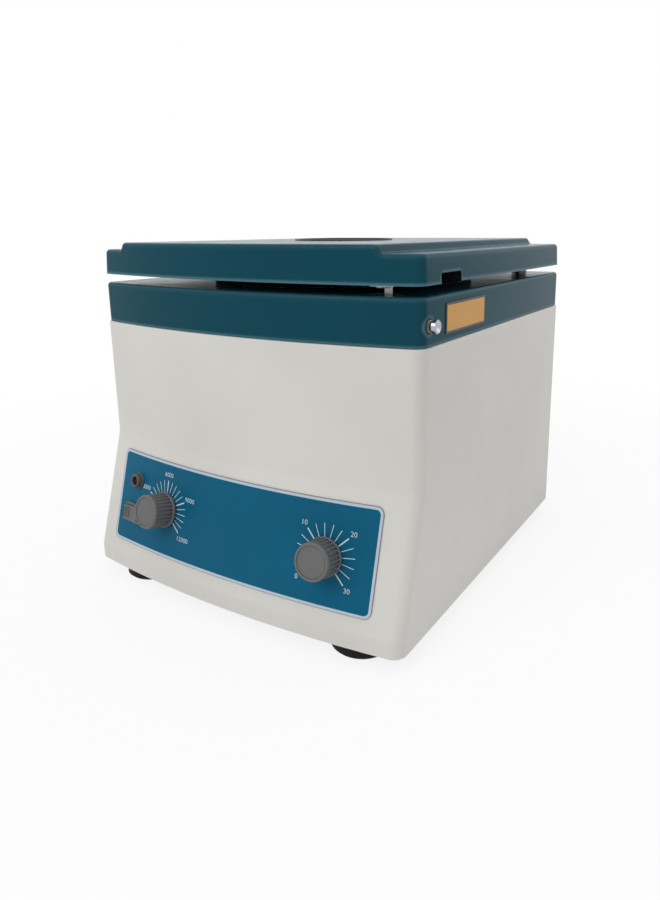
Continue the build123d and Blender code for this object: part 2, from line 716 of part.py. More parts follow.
def hinge_leaf(x, low, high, middle):
    """One leaf: a flat plate with the middle knuckle or the two outer ones."""
    half = HINGE_WIDTH / 2
    leaf = block((x - half, x + half), (REAR_Y - LEAF_REACH, LEAF_END_Y), (low, high))
    part = HINGE_PART / 2
    spans = [(x - part, x + part)]
    if not middle:
        edge = part + HINGE_SPLIT
        spans = [(x - half, x - edge), (x + edge, x + half)]
    for span in spans:
        leaf += block(span, (LEAF_END_Y - 1, HINGE_Y), (low, high))
        leaf += rod_x(KNUCKLE_RADIUS, span[0], span[1], HINGE_Y, HINGE_Z)
    leaf -= rod_x(HINGE_PIN_RADIUS + RUNNING, x - HINGE_WIDTH, x + HINGE_WIDTH, HINGE_Y, HINGE_Z)
    sunk = countersunk(2 * LEAF_THICKNESS, RUNNING)
    screw_y = HINGE_SCREWS[0][1]
    if middle:
        return leaf - Pos(x, screw_y, low) * Rot(180, 0, 0) * sunk
    return leaf - Pos(x, screw_y, high) * sunk


def hinge_pin(x):
    half = HINGE_WIDTH / 2
    pin = rod_x(HINGE_PIN_RADIUS, x - half - 0.6, x + half + 0.6, HINGE_Y, HINGE_Z)
    return pin + rod_x(HINGE_PIN_RADIUS + 0.9, x - half - 1.4, x - half - 0.2, HINGE_Y, HINGE_Z)


# Latch

def latch_hook():
    left = LATCH_X - HOOK_WIDTH / 2
    right = LATCH_X + HOOK_WIDTH / 2
    y = (STRIP_LOW, STRIP_LOW + HOOK_THICKNESS)
    outline = Polyline(
        (left, LID_Z - 1), (left, BARB_LOW + BARB_HEIGHT), (left - BARB_REACH, BARB_LOW + BARB_HEIGHT),
        (left - BARB_REACH, BARB_LOW + BARB_HEIGHT * 0.6), (left - 0.4, BARB_LOW - 1.6),
        (right, BARB_LOW - 1.6), (right, LID_Z - 1), close=True,
    )
    strip = extrude(make_face(Plane.XZ * outline), HOOK_THICKNESS)
    strip = Pos(0, y[1] - strip.bounding_box().max.Y, 0) * strip
    foot = block((left - 10.0, right), (y[0] - 1.0, y[1] + 5.0), (LID_Z - 2.0, LID_Z))
    foot = fillet(foot.edges().filter_by(Axis.Z), 1.2)
    hook = strip + foot
    return hook - rod(SMALL_SCREW + RUNNING, LID_Z - 5, LID_Z + 1, *HOOK_SCREW)


def latch_rod():
    stop = BUSH_INNER_X - LOOSE
    left = LATCH_X - HOOK_WIDTH / 2
    catch_end = left - BARB_REACH + CATCH_REACH
    bar = rod_x(ROD_RADIUS, catch_end - 6.0, KNOB_SEAT_X, LATCH_Y, LATCH_HEIGHT)
    bar += rod_x(ROD_RADIUS + 1.8, stop - COLLAR_THICKNESS, stop, LATCH_Y, LATCH_HEIGHT)
    catch_y = (LATCH_Y - ROD_RADIUS, STRIP_LOW + HOOK_THICKNESS + 0.6)
    catch = block((catch_end - 6.0, catch_end), catch_y, (LATCH_HEIGHT - 3.2, CATCH_TOP))
    nose = [
        edge for edge in catch.edges().filter_by(Axis.Y)
        if edge.center().X > catch_end - TINY and edge.center().Z > CATCH_TOP - TINY
    ]
    return bar + chamfer(nose, 1.6)


def latch_knob():
    """A bright push button with a grooved neck and a hollowed end."""
    head = LATCH_KNOB_RADIUS
    neck = head - 0.3
    tip = BAND_X + LATCH_REACH
    head_start = tip - 3.2
    profile = [(0, KNOB_SEAT_X), (ROD_RADIUS + 0.2, KNOB_SEAT_X), (ROD_RADIUS + 0.2, NECK_X)]
    grooves = 4
    pitch = (head_start - NECK_X) / grooves
    for i in range(grooves):
        low = NECK_X + i * pitch
        profile += [(neck - 0.5, low), (neck, low + pitch / 2)]
    profile += [
        (neck - 0.5, head_start), (head - 0.3, head_start), (head, head_start + 0.3),
        (head, tip - 0.5), (head - 0.5, tip), (head - 0.8, tip), (0, tip - 1.2),
    ]
    along = Pos(0, LATCH_Y, LATCH_HEIGHT) * Rot(0, 90, 0)
    section = make_face(Polyline(*[(r, 0, z) for r, z in profile], close=True))
    return along * revolve(section, Axis.Z)


def latch_bush():
    mouth = BAND_X + 0.2
    bush = rod_x(LATCH_BUSH_RADIUS - 0.1, BUSH_INNER_X, mouth, LATCH_Y, LATCH_HEIGHT)
    bush -= rod_x(ROD_RADIUS + 0.3, BUSH_INNER_X - 1, mouth + 1, LATCH_Y, LATCH_HEIGHT)
    bush -= rod_x(LATCH_KNOB_RADIUS + LOOSE, RECESS_X, mouth + 1, LATCH_Y, LATCH_HEIGHT)
    return bush


def latch_bracket():
    """A bent tab under the deck that guides the rod's inner half and seats the spring."""
    under = DECK_Z - DECK_THICKNESS
    x = (BRACKET_X, BRACKET_X + 1.5)
    y = (LATCH_Y - 6.0, LATCH_Y + 6.0)
    tab = block(x, y, (LATCH_HEIGHT - 6.0, under))
    tab += block((BRACKET_X, BRACKET_X + 9.0), y, (under - 1.5, under))
    tab -= rod_x(ROD_RADIUS + 0.3, BRACKET_X - 1, BRACKET_X + 3, LATCH_Y, LATCH_HEIGHT)
    return tab - rod(SMALL_SCREW, under - 3, under + 1, *BRACKET_SCREW)


def latch_spring():
    start = BRACKET_X + 1.5 + 0.8
    end = BUSH_INNER_X - LOOSE - COLLAR_THICKNESS - 0.8
    turns = 4
    wire = 0.45
    path = Helix((end - start) / turns, end - start, ROD_RADIUS + 1.1)
    section = Plane(path @ 0, z_dir=path % 0) * Circle(wire)
    coil = sweep(section, path=path, is_frenet=True)
    return Pos(start, LATCH_Y, LATCH_HEIGHT) * Rot(0, 90, 0) * coil


# Chamber

def chamber_bowl():
    inner = BOWL_RADIUS
    outer = inner + BOWL_THICKNESS
    floor = BOWL_FLOOR_Z
    under = floor - BOWL_THICKNESS
    profile = [
        (CHIMNEY_RADIUS, under), (outer, under), (outer, DECK_Z - BOWL_THICKNESS),
        (inner + BOWL_FLANGE, DECK_Z - BOWL_THICKNESS), (inner + BOWL_FLANGE, DECK_Z),
        (inner, DECK_Z), (inner, floor), (CHIMNEY_RADIUS + BOWL_THICKNESS, floor),
        (CHIMNEY_RADIUS + BOWL_THICKNESS, floor + 2.0), (CHIMNEY_RADIUS, floor + 2.0),
    ]
    bowl = turned(profile)
    corner_in = [
        edge for edge in bowl.edges().filter_by(GeomType.CIRCLE)
        if abs(edge.radius - inner) < TINY and abs(edge.center().Z - floor) < TINY
    ]
    bowl = fillet(corner_in, BOWL_CORNER)
    corner_out = [
        edge for edge in bowl.edges().filter_by(GeomType.CIRCLE)
        if abs(edge.radius - outer) < TINY and abs(edge.center().Z - under) < TINY
    ]
    bowl = fillet(corner_out, BOWL_CORNER + BOWL_THICKNESS)
    rim = [
        edge for edge in bowl.edges().filter_by(GeomType.CIRCLE)
        if abs(edge.radius - inner) < TINY and abs(edge.center().Z - DECK_Z) < TINY
    ]
    return Pos(0, CHAMBER_Y, 0) * fillet(rim, BOWL_THICKNESS * 0.6)


def bowl_gasket():
    low = DECK_Z - BOWL_THICKNESS - GASKET_THICKNESS
    inner = BOWL_RADIUS + BOWL_THICKNESS + 0.7
    return tube(BOWL_RADIUS + BOWL_FLANGE, inner, low, low + GASKET_THICKNESS, 0, CHAMBER_Y)


def shaft_boot():
    """Rubber collar in the bowl's floor, clear of the turning shaft."""
    floor = BOWL_FLOOR_Z
    under = floor - BOWL_THICKNESS
    profile = [
        (SHAFT_RADIUS + 2, under - 3), (CHIMNEY_RADIUS + 3, under - 3), (CHIMNEY_RADIUS + 3, under),
        (CHIMNEY_RADIUS, under), (CHIMNEY_RADIUS, floor + 2.5), (SHAFT_RADIUS + 5, floor + 2.5),
    ]
    return turned(profile, 0, CHAMBER_Y)


# Rotor

def rotor():
    lean = 3.0
    profile = [
        (SHAFT_RADIUS, ROTOR_HUB_Z), (HUB_RADIUS, ROTOR_HUB_Z), (HUB_RADIUS, ROTOR_BOTTOM - lean + 1),
        (ROTOR_RADIUS - 8, ROTOR_BOTTOM), (ROTOR_RADIUS - 1, ROTOR_BOTTOM),
        (ROTOR_RADIUS, ROTOR_BOTTOM + 1), (ROTOR_RADIUS, RIM_TOP - 0.6), (ROTOR_RADIUS - 0.6, RIM_TOP),
        (GROOVE_OUTER, RIM_TOP), (GROOVE_OUTER, GROOVE_FLOOR),
        (GROOVE_OUTER - RING_WIDTH, GROOVE_FLOOR), (GROOVE_OUTER - RING_WIDTH, ROTOR_TOP),
        (SHAFT_RADIUS, ROTOR_TOP),
    ]
    disc = turned(profile)
    slot_end = GROOVE_OUTER - RING_WIDTH / 2
    slot_y = (-SLOT_WIDTH / 2, SLOT_WIDTH / 2)
    cutter = block((SLOT_START, slot_end), slot_y, (ROTOR_TOP - SLOT_DEPTH, ROTOR_TOP + 1))
    disc -= ring_of(cutter, SLOT_COUNT)
    return Pos(0, CHAMBER_Y, 0) * disc


def rotor_cushion_ring():
    outer = GROOVE_OUTER - 0.1
    inner = GROOVE_OUTER - RING_WIDTH + 0.1
    return tube(outer, inner, GROOVE_FLOOR, ROTOR_TOP + 1.2, 0, CHAMBER_Y)


def rotor_nut():
    nut = extrude(RegularPolygon(NUT_RADIUS, 6), NUT_HEIGHT)
    nut -= rod(SHAFT_RADIUS, -1, NUT_HEIGHT + 1)
    return Pos(0, CHAMBER_Y, ROTOR_TOP) * nut


def rotor_cover():
    """A shallow dished disc that closes the tube slots from above."""
    rim_low = RIM_TOP + LOOSE
    centre_low = COVER_CENTRE_LOW
    thick = COVER_THICKNESS
    radius = ROTOR_RADIUS - 0.5
    dish = COVER_DISH_RADIUS
    slope_end = dish + COVER_SLOPE_RUN
    profile = [
        (KNOB_NECK + LOOSE, centre_low), (dish, centre_low), (slope_end, rim_low), (radius, rim_low),
        (radius, rim_low + thick - 0.5), (radius - 0.5, rim_low + thick),
        (slope_end + 0.6, rim_low + thick), (dish + 0.4, centre_low + thick),
        (KNOB_NECK + LOOSE, centre_low + thick),
    ]
    return turned(profile, 0, CHAMBER_Y)


def cover_knob():
    """The knurled knob that clamps the cover; it stays captive in it."""
    low = KNOB_FLANGE_LOW
    seat = COVER_CENTRE_LOW + COVER_THICKNESS + LOOSE
    top = seat + COVER_KNOB_HEIGHT
    bore = SHAFT_RADIUS + 0.1
    profile = [
        (bore, low), (KNOB_NECK + 1.6, low), (KNOB_NECK + 1.6, low + 1.0), (KNOB_NECK, low + 1.0),
        (KNOB_NECK, seat), (COVER_KNOB_RADIUS - 1, seat), (COVER_KNOB_RADIUS, seat + 1),
        (COVER_KNOB_RADIUS, top - 1.5), (COVER_KNOB_RADIUS - 1.5, top), (0, top), (0, STUD_TOP + 0.5),
        (bore, STUD_TOP + 0.5),
    ]
    knob = turned(profile)
    groove = rod(0.9, seat - 1, top + 1, COVER_KNOB_RADIUS + 0.35, 0)
    knob -= ring_of(groove, 24)
    return Pos(0, CHAMBER_Y, 0) * knob


# Motor

def motor_shaft():
    low = MOTOR_BOTTOM - 14.0
    shaft = rod(SHAFT_RADIUS, low, STUD_TOP, 0, CHAMBER_Y)
    return chamfer(shaft.edges().sort_by(Axis.Z)[-1], 0.8)


def motor_armature():
    radius = MOTOR_RADIUS - 13.0
    core = tube(radius, SHAFT_RADIUS, CAN_BOTTOM + 18, CAN_TOP - 12)
    slot = block((radius - 5, radius + 2), (-1, 1), (CAN_BOTTOM + 17, CAN_TOP - 11))
    core -= ring_of(slot, 12)
    core += tube(11.0, SHAFT_RADIUS, CAN_BOTTOM + 4, CAN_BOTTOM + 18)
    return Pos(0, CHAMBER_Y, 0) * core


def motor_fan():
    low = MOTOR_BOTTOM - 11.0
    fan = tube(9.0, SHAFT_RADIUS, low, low + 8) + tube(32.0, SHAFT_RADIUS, low + 6, low + 8)
    blade = block((8, 31), (-0.8, 0.8), (low, low + 6.5))
    for copy in ring_of(blade, 9):
        fan += copy
    return Pos(0, CHAMBER_Y, 0) * fan


def motor_can():
    can = tube(MOTOR_RADIUS, MOTOR_RADIUS - MOTOR_WALL, CAN_BOTTOM, CAN_TOP)
    for side in (0, 180):
        magnet = tube(MOTOR_RADIUS - 1, MOTOR_RADIUS - 11, CAN_BOTTOM + 18, CAN_TOP - 12)
        keep = Rot(0, 0, side) * block((0, LONG), (-26, 26), (CAN_BOTTOM, CAN_TOP))
        can += magnet & keep
    hole = Rot(90, 0, 0) * Cylinder(3.5, LONG)
    can -= Pos(0, 0, CAN_BOTTOM + 9) * hole
    return Pos(0, CHAMBER_Y, 0) * can


def motor_bell(low):
    bell = tube(MOTOR_RADIUS, BEARING_RADIUS, low, low + BELL_THICKNESS)
    window = Pos(24, 0, low) * Cylinder(5.0, 4 * BELL_THICKNESS)
    bell -= ring_of(window, 6, start=30)
    for x, y in motor_screw_places():
        bell -= rod(SCREW_RADIUS, low - 1, low + BELL_THICKNESS + 1, x, y)
    return Pos(0, CHAMBER_Y, 0) * bell


def bearing(low):
    ring = tube(BEARING_RADIUS, SHAFT_RADIUS, low, low + BEARING_WIDTH)
    groove = tube(BEARING_RADIUS - 2, SHAFT_RADIUS + 2, low - 1, low + 1)
    ring -= groove
    ring -= Pos(0, 0, BEARING_WIDTH) * groove
    return Pos(0, CHAMBER_Y, 0) * ring


def brush_holder(side):
    holder = rod_y(3.4, 11.5, MOTOR_RADIUS + 4, 0, CAN_BOTTOM + 9)
    cap = rod_y(5.0, MOTOR_RADIUS + 2, MOTOR_RADIUS + 5, 0, CAN_BOTTOM + 9)
    return Pos(0, CHAMBER_Y, 0) * Rot(0, 0, side) * (holder + cap)


def motor_bridge():
    half = BRIDGE_SPAN / 2
    depth = (-BRIDGE_WIDTH / 2, BRIDGE_WIDTH / 2)
    bridge = block((-half, half), depth, (MOTOR_TOP, BRIDGE_TOP))
    for side in (-1, 1):
        leg_x = sorted((side * half, side * (half - BRIDGE_SHEET)))
        bridge += block(leg_x, depth, (BRIDGE_FOOT_Z, BRIDGE_TOP))
        foot_x = sorted((side * (half - BRIDGE_SHEET), side * (half + BRIDGE_FOOT)))
        bridge += block(foot_x, depth, (BRIDGE_FOOT_Z, BRIDGE_FOOT_Z + BRIDGE_SHEET))
    bends = [
        edge for edge in bridge.edges().filter_by(Axis.Y)
        if abs(edge.center().Z - BRIDGE_TOP) < TINY and edge.length > BRIDGE_WIDTH - 1
    ]
    bridge = fillet(bends, BRIDGE_SHEET - 0.5)
    bridge -= rod(BEARING_RADIUS + 1, MOTOR_TOP - 1, BRIDGE_TOP + 1)
    for x, y in motor_screw_places():
        bridge -= rod(SCREW_RADIUS + 0.3, MOTOR_TOP - 1, BRIDGE_TOP + 1, x, y)
    bridge = Pos(0, CHAMBER_Y, 0) * bridge
    for x, y in damper_places():
        bridge -= rod(SCREW_RADIUS + 0.3, BRIDGE_FOOT_Z - 1, BRIDGE_FOOT_Z + 5, x, y)
    return bridge


def motor_screw_places():
    reach = 22.0
    return [(i * reach, j * reach) for i in (-1, 1) for j in (-1, 1)]


def damper_places():
    x = BRIDGE_SPAN / 2 + BRIDGE_FOOT / 2 + 1.0
    y = BRIDGE_WIDTH / 2 - DAMPER_RADIUS - 2.0
    return [(i * x, CHAMBER_Y + j * y) for i in (-1, 1) for j in (-1, 1)]


def damper(x, y):
    """A rubber bobbin with its stud up through the bridge's foot."""
    waist = DAMPER_RADIUS - 1.5
    middle = (PAN_TOP + BRIDGE_FOOT_Z) / 2
    profile = [
        (0, PAN_TOP), (DAMPER_RADIUS, PAN_TOP), (DAMPER_RADIUS, PAN_TOP + 1.5), (waist, middle),
        (DAMPER_RADIUS, BRIDGE_FOOT_Z - 1.5), (DAMPER_RADIUS, BRIDGE_FOOT_Z),
        (SCREW_RADIUS, BRIDGE_FOOT_Z), (SCREW_RADIUS, BRIDGE_FOOT_Z + 6), (0, BRIDGE_FOOT_Z + 6),
    ]
    return turned(profile, x, y)


# Control front

def control_panel():
    slope = loft(
        [foot_plan(KICK_Z, -OVERLAY_THICKNESS), upper_plan(BEND_Z, -OVERLAY_THICKNESS)], ruled=True
    )
    core = loft(
        [foot_plan(KICK_Z, -OVERLAY_GLUE), upper_plan(BEND_Z, -OVERLAY_GLUE)], ruled=True
    )
    height = OVERLAY_TOP - OVERLAY_BOTTOM
    frame = RectangleRounded(2 * OVERLAY_HALF, height, OVERLAY_RADIUS)
    prism = Rot(90, 0, 0) * extrude(frame, LONG)
    prism = Pos(0, UPPER_FRONT_Y + 20, (OVERLAY_BOTTOM + OVERLAY_TOP) / 2) * prism
    overlay = (slope & prism) - core
    for x, z in ((SPEED_X, SPEED_Z), (TIMER_X, TIMER_Z)):
        overlay -= on_panel(x, z) * rod(BUSH_RADIUS + LOOSE, -8, 4)
    overlay -= on_panel(LAMP_X, LAMP_Z) * rod(LAMP_RADIUS - 1 + LOOSE, -8, 4)
    overlay -= on_panel(SWITCH_X, SWITCH_Z) * switch_opening()
    return overlay


def control_knob(x, z):
    """A fluted knob with a thin rear skirt and a flat face with a fine raised rim."""
    radius = KNOB_RADIUS
    back = KNOB_BACK
    front = KNOB_FRONT
    profile = [
        (SPINDLE_RADIUS, back + KNOB_CAVITY), (9.2, back + KNOB_CAVITY), (9.2, back),
        (radius + 0.5, back), (radius + 0.5, back + 1.2), (radius, back + 1.8),
        (radius - 0.3, front - 1.2), (radius - 0.7, front - 0.3), (radius - 1.1, front),
        (radius - 1.9, front), (radius - 2.3, front - 0.5), (0, front - 0.5), (0, front - 3.0),
        (SPINDLE_RADIUS, front - 3.0),
    ]
    knob = turned(profile)
    flute = rod(FLUTE_RADIUS, back + 1.9, front - 1.3, radius + 0.35, 0)
    knob -= ring_of(flute, KNOB_FLUTES)
    return on_panel(x, z) * knob


def spindle(x, z, depth):
    return on_panel(x, z) * rod(SPINDLE_RADIUS, -depth, KNOB_FRONT - 3.0)


def threaded_bush():
    return tube(BUSH_RADIUS, SPINDLE_RADIUS + RUNNING, WALL_BACK - 1, PANEL_NUT_HIGH + 1.2)


def speed_potentiometer():
    can = tube(12.0, SPINDLE_RADIUS + RUNNING, WALL_BACK - 11, WALL_BACK)
    lugs = block((-7, 7), (-17, -11), (WALL_BACK - 6.5, WALL_BACK - 5.5))
    return on_panel(SPEED_X, SPEED_Z) * (can + lugs + threaded_bush())


def timer_movement():
    case = block((-19, 19), (-19, 19), (WALL_BACK - 26, WALL_BACK))
    case = fillet(case.edges().filter_by(Axis.Z), 3.0)
    case -= rod(SPINDLE_RADIUS + RUNNING, WALL_BACK - 22, WALL_BACK + 1)
    return on_panel(TIMER_X, TIMER_Z) * (case + threaded_bush())


def panel_nut(x, z):
    nut = extrude(RegularPolygon(PANEL_NUT_RADIUS, 6), PANEL_NUT_HEIGHT)
    nut = Pos(0, 0, PANEL_NUT_LOW) * nut - rod(BUSH_RADIUS, -5, 10)
    return on_panel(x, z) * nut


# Switch and lamp, in the panel's local frame

def switch_opening():
    return Box(SWITCH_LENGTH - 0.8, SWITCH_WIDTH - 0.8, 30)


def switch_frame():
    low = OVERLAY_THICKNESS + 0.1
    half_l = SWITCH_LENGTH / 2
    half_w = SWITCH_WIDTH / 2
    top = low + 1.8
    bezel = block((-half_l, half_l), (-half_w, half_w), (low, top))
    bezel = fillet(bezel.edges().filter_by(Axis.Z), 1.2)
    rim = [edge for edge in bezel.edges() if abs(edge.center().Z - top) < TINY]
    bezel = fillet(rim, 0.6)
    wall = 0.5
    body = block((-half_l + wall, half_l - wall), (-half_w + wall, half_w - wall), (-13.0, low + 1))
    frame = bezel + body
    swing = ROCKER_SWING + LOOSE
    side = ROCKER_WIDTH / 2 + LOOSE
    frame -= block((-swing, swing), (-side, side), (-11.0, 10))
    frame -= Pos(0, 0, ROCKER_PIVOT) * Rot(90, 0, 0) * Cylinder(TRUNNION + 0.06, 2 * side + 1.4)
    return on_panel(SWITCH_X, SWITCH_Z) * frame


def power_rocker():
    """A rocker with ribs on its left half; at rest its left end stands up."""
    width = ROCKER_WIDTH / 2
    drum = Rot(90, 0, 0) * Cylinder(ROCKER_SWING, ROCKER_WIDTH)
    reach = ROCKER_SWING + 0.6
    middle = 2.4
    rise = 1.5
    ends = middle + rise
    crown = Polyline(
        (-LONG, 0, -6.0), (-LONG, 0, ends), (-reach, 0, ends), (0, 0, middle), (reach, 0, ends),
        (LONG, 0, ends), (LONG, 0, -6.0), close=True,
    )
    slab = extrude(make_face(crown), LONG, both=True, dir=(0, 1, 0))
    rocker = drum & slab
    rib = Box(0.7, ROCKER_WIDTH - 3.0, 1.2)
    ribs = 4
    for i in range(ribs):
        x = -ROCKER_SWING + 0.9 + i * 1.4
        rocker += Pos(x, 0, middle - x * rise / reach) * rib & drum
    hub = Rot(90, 0, 0) * Cylinder(TRUNNION, 2 * width + 1.2)
    rocker += hub
    place = on_panel(SWITCH_X, SWITCH_Z) * Pos(0, 0, ROCKER_PIVOT) * Rot(0, ROCKER_TILT, 0)
    return place * rocker


def indicator_bezel():
    low = OVERLAY_THICKNESS + 0.1
    top = low + LAMP_LENGTH
    profile = [
        (LAMP_BORE, -14.0), (LAMP_RADIUS - 1, -14.0), (LAMP_RADIUS - 1, low), (LAMP_RADIUS + 0.4, low),
        (LAMP_RADIUS + 0.4, low + 1.0), (LAMP_RADIUS, low + 1.4), (LAMP_RADIUS - 0.4, top - 1.0),
        (LAMP_RADIUS - 1.2, top), (LAMP_BORE + 0.8, top), (LAMP_BORE, top - 0.9),
    ]
    return on_panel(LAMP_X, LAMP_Z) * turned(profile)


def indicator_lens():
    base = OVERLAY_THICKNESS + 1.0
    radius = LAMP_BORE - 0.1
    stem = rod(radius, -12.0, base)
    dome = Pos(0, 0, base) * Sphere(radius) & block((-5, 5), (-5, 5), (base, base + 5))
    return on_panel(LAMP_X, LAMP_Z) * (stem + dome)


# Electronics and rear fittings

def board_places():
    left, right = BOARD_X
    front, rear = BOARD_Y
    inset = BOARD_SCREW_INSET
    return [(x, y) for x in (left + inset, right - inset) for y in (front + inset, rear - inset)]


def control_board():
    board = block(BOARD_X, BOARD_Y, (BOARD_Z, BOARD_Z + BOARD_THICKNESS))
    for x, y in board_places():
        board -= rod(SCREW_RADIUS, BOARD_Z - 1, BOARD_Z + 3, x, y)
    return board


def board_components():
    top = BOARD_Z + BOARD_THICKNESS
    parts = []
    left, right = BOARD_X
    front, rear = BOARD_Y
    sink_x = left + 20.0
    sink_y = front + 8.0
    sink = block((sink_x, sink_x + 40.0), (sink_y, sink_y + 18.0), (top, top + 25.0))
    gaps = 6
    pitch = 6.4
    for i in range(gaps):
        gap_x = sink_x + 2.0 + i * pitch
        sink -= block((gap_x, gap_x + 3.6), (sink_y + 3.0, sink_y + 20.0), (top - 1, top + 26.0))
    parts.append(sink)
    can_y = front + 18.0
    for can_x in (-20.0, 2.0):
        parts.append(rod(8.0, top, top + 22.0, can_x, can_y))
    coil_x = right - 80.0
    parts.append(block((coil_x, coil_x + 32.0), (rear - 34.0, rear - 10.0), (top, top + 24.0)))
    plug_x = right - 38.0
    parts.append(block((plug_x, plug_x + 24.0), (front + 4.0, front + 12.0), (top, top + 11.0)))
    return parts


def board_standoff(x, y):
    return tube(3.5, 1.6, PAN_TOP, BOARD_Z, x, y)


def power_inlet():
    """An appliance inlet: flange on the rear face, socket with three flat pins."""
    face = REAR_Y + 2.4
    body_half = INLET_WIDTH / 2
    tall = INLET_HEIGHT / 2
    flange = block((-INLET_FLANGE / 2, INLET_FLANGE / 2), (REAR_Y, face), (-11.2, 11.2))
    flange = fillet(flange.edges().filter_by(Axis.Y), 4.0)
    inlet = flange + block((-body_half, body_half), (face - 24.0, REAR_Y + 1), (-tall, tall))
    socket = block((-12, 12), (face - INLET_DEPTH, face + 1), (-8, 8))
    inlet -= chamfer(socket.edges().filter_by(Axis.Y).sort_by(Axis.Z)[-2:], 4.5)
    for side in (-1, 1):
        inlet -= rod_y(SCREW_RADIUS, REAR_Y - 1, face + 1, side * INLET_SCREW, 0)
    for x, z in ((-7, -2), (0, 3), (7, -2)):
        inlet += block((x - 1, x + 1), (face - INLET_DEPTH - 8, face - 7.0), (z - 2, z + 2))
    return Pos(INLET_X, 0, INLET_Z) * inlet


def rear_screw(x, z):
    return Pos(x, REAR_Y + 2.4, z) * Rot(-90, 0, 0) * screw(8.0, 3.2, SCREW_RADIUS - 0.3, 1.8)


def fuse_holder():
    flange = rod_y(FUSE_RADIUS + 2.2, REAR_Y, REAR_Y + 2.0, FUSE_X, INLET_Z)
    body = rod_y(FUSE_RADIUS, REAR_Y - 28.0, REAR_Y + 1.0, FUSE_X, INLET_Z)
    return flange + body - rod_y(FUSE_RADIUS - 1.4, REAR_Y - 26.0, REAR_Y + 3, FUSE_X, INLET_Z)


def fuse_cap():
    cap = rod_y(FUSE_RADIUS - 1.7, REAR_Y - 4.0, REAR_Y + 2.0, FUSE_X, INLET_Z)
    head = rod_y(FUSE_RADIUS + 0.6, REAR_Y + 2.3, REAR_Y + 7.0, FUSE_X, INLET_Z)
    neck = rod_y(FUSE_RADIUS - 1.7, REAR_Y + 1.0, REAR_Y + 3.0, FUSE_X, INLET_Z)
    slot = Pos(FUSE_X, REAR_Y + 7.0, INLET_Z) * Box(1.4, 2.4, 2 * FUSE_RADIUS - 3)
    return cap + neck + head - slot


def side_plate():
    """A bare thin plate on the band's right side."""
    front = UPPER_FRONT_Y + PLATE_FROM_FRONT
    y = (front, front + PLATE_LENGTH)
    x = (BAND_X, BAND_X + PLATE_THICKNESS)
    plate = block(x, y, (PLATE_BOTTOM, PLATE_BOTTOM + PLATE_HEIGHT))
    return fillet(plate.edges().filter_by(Axis.X), 1.0)


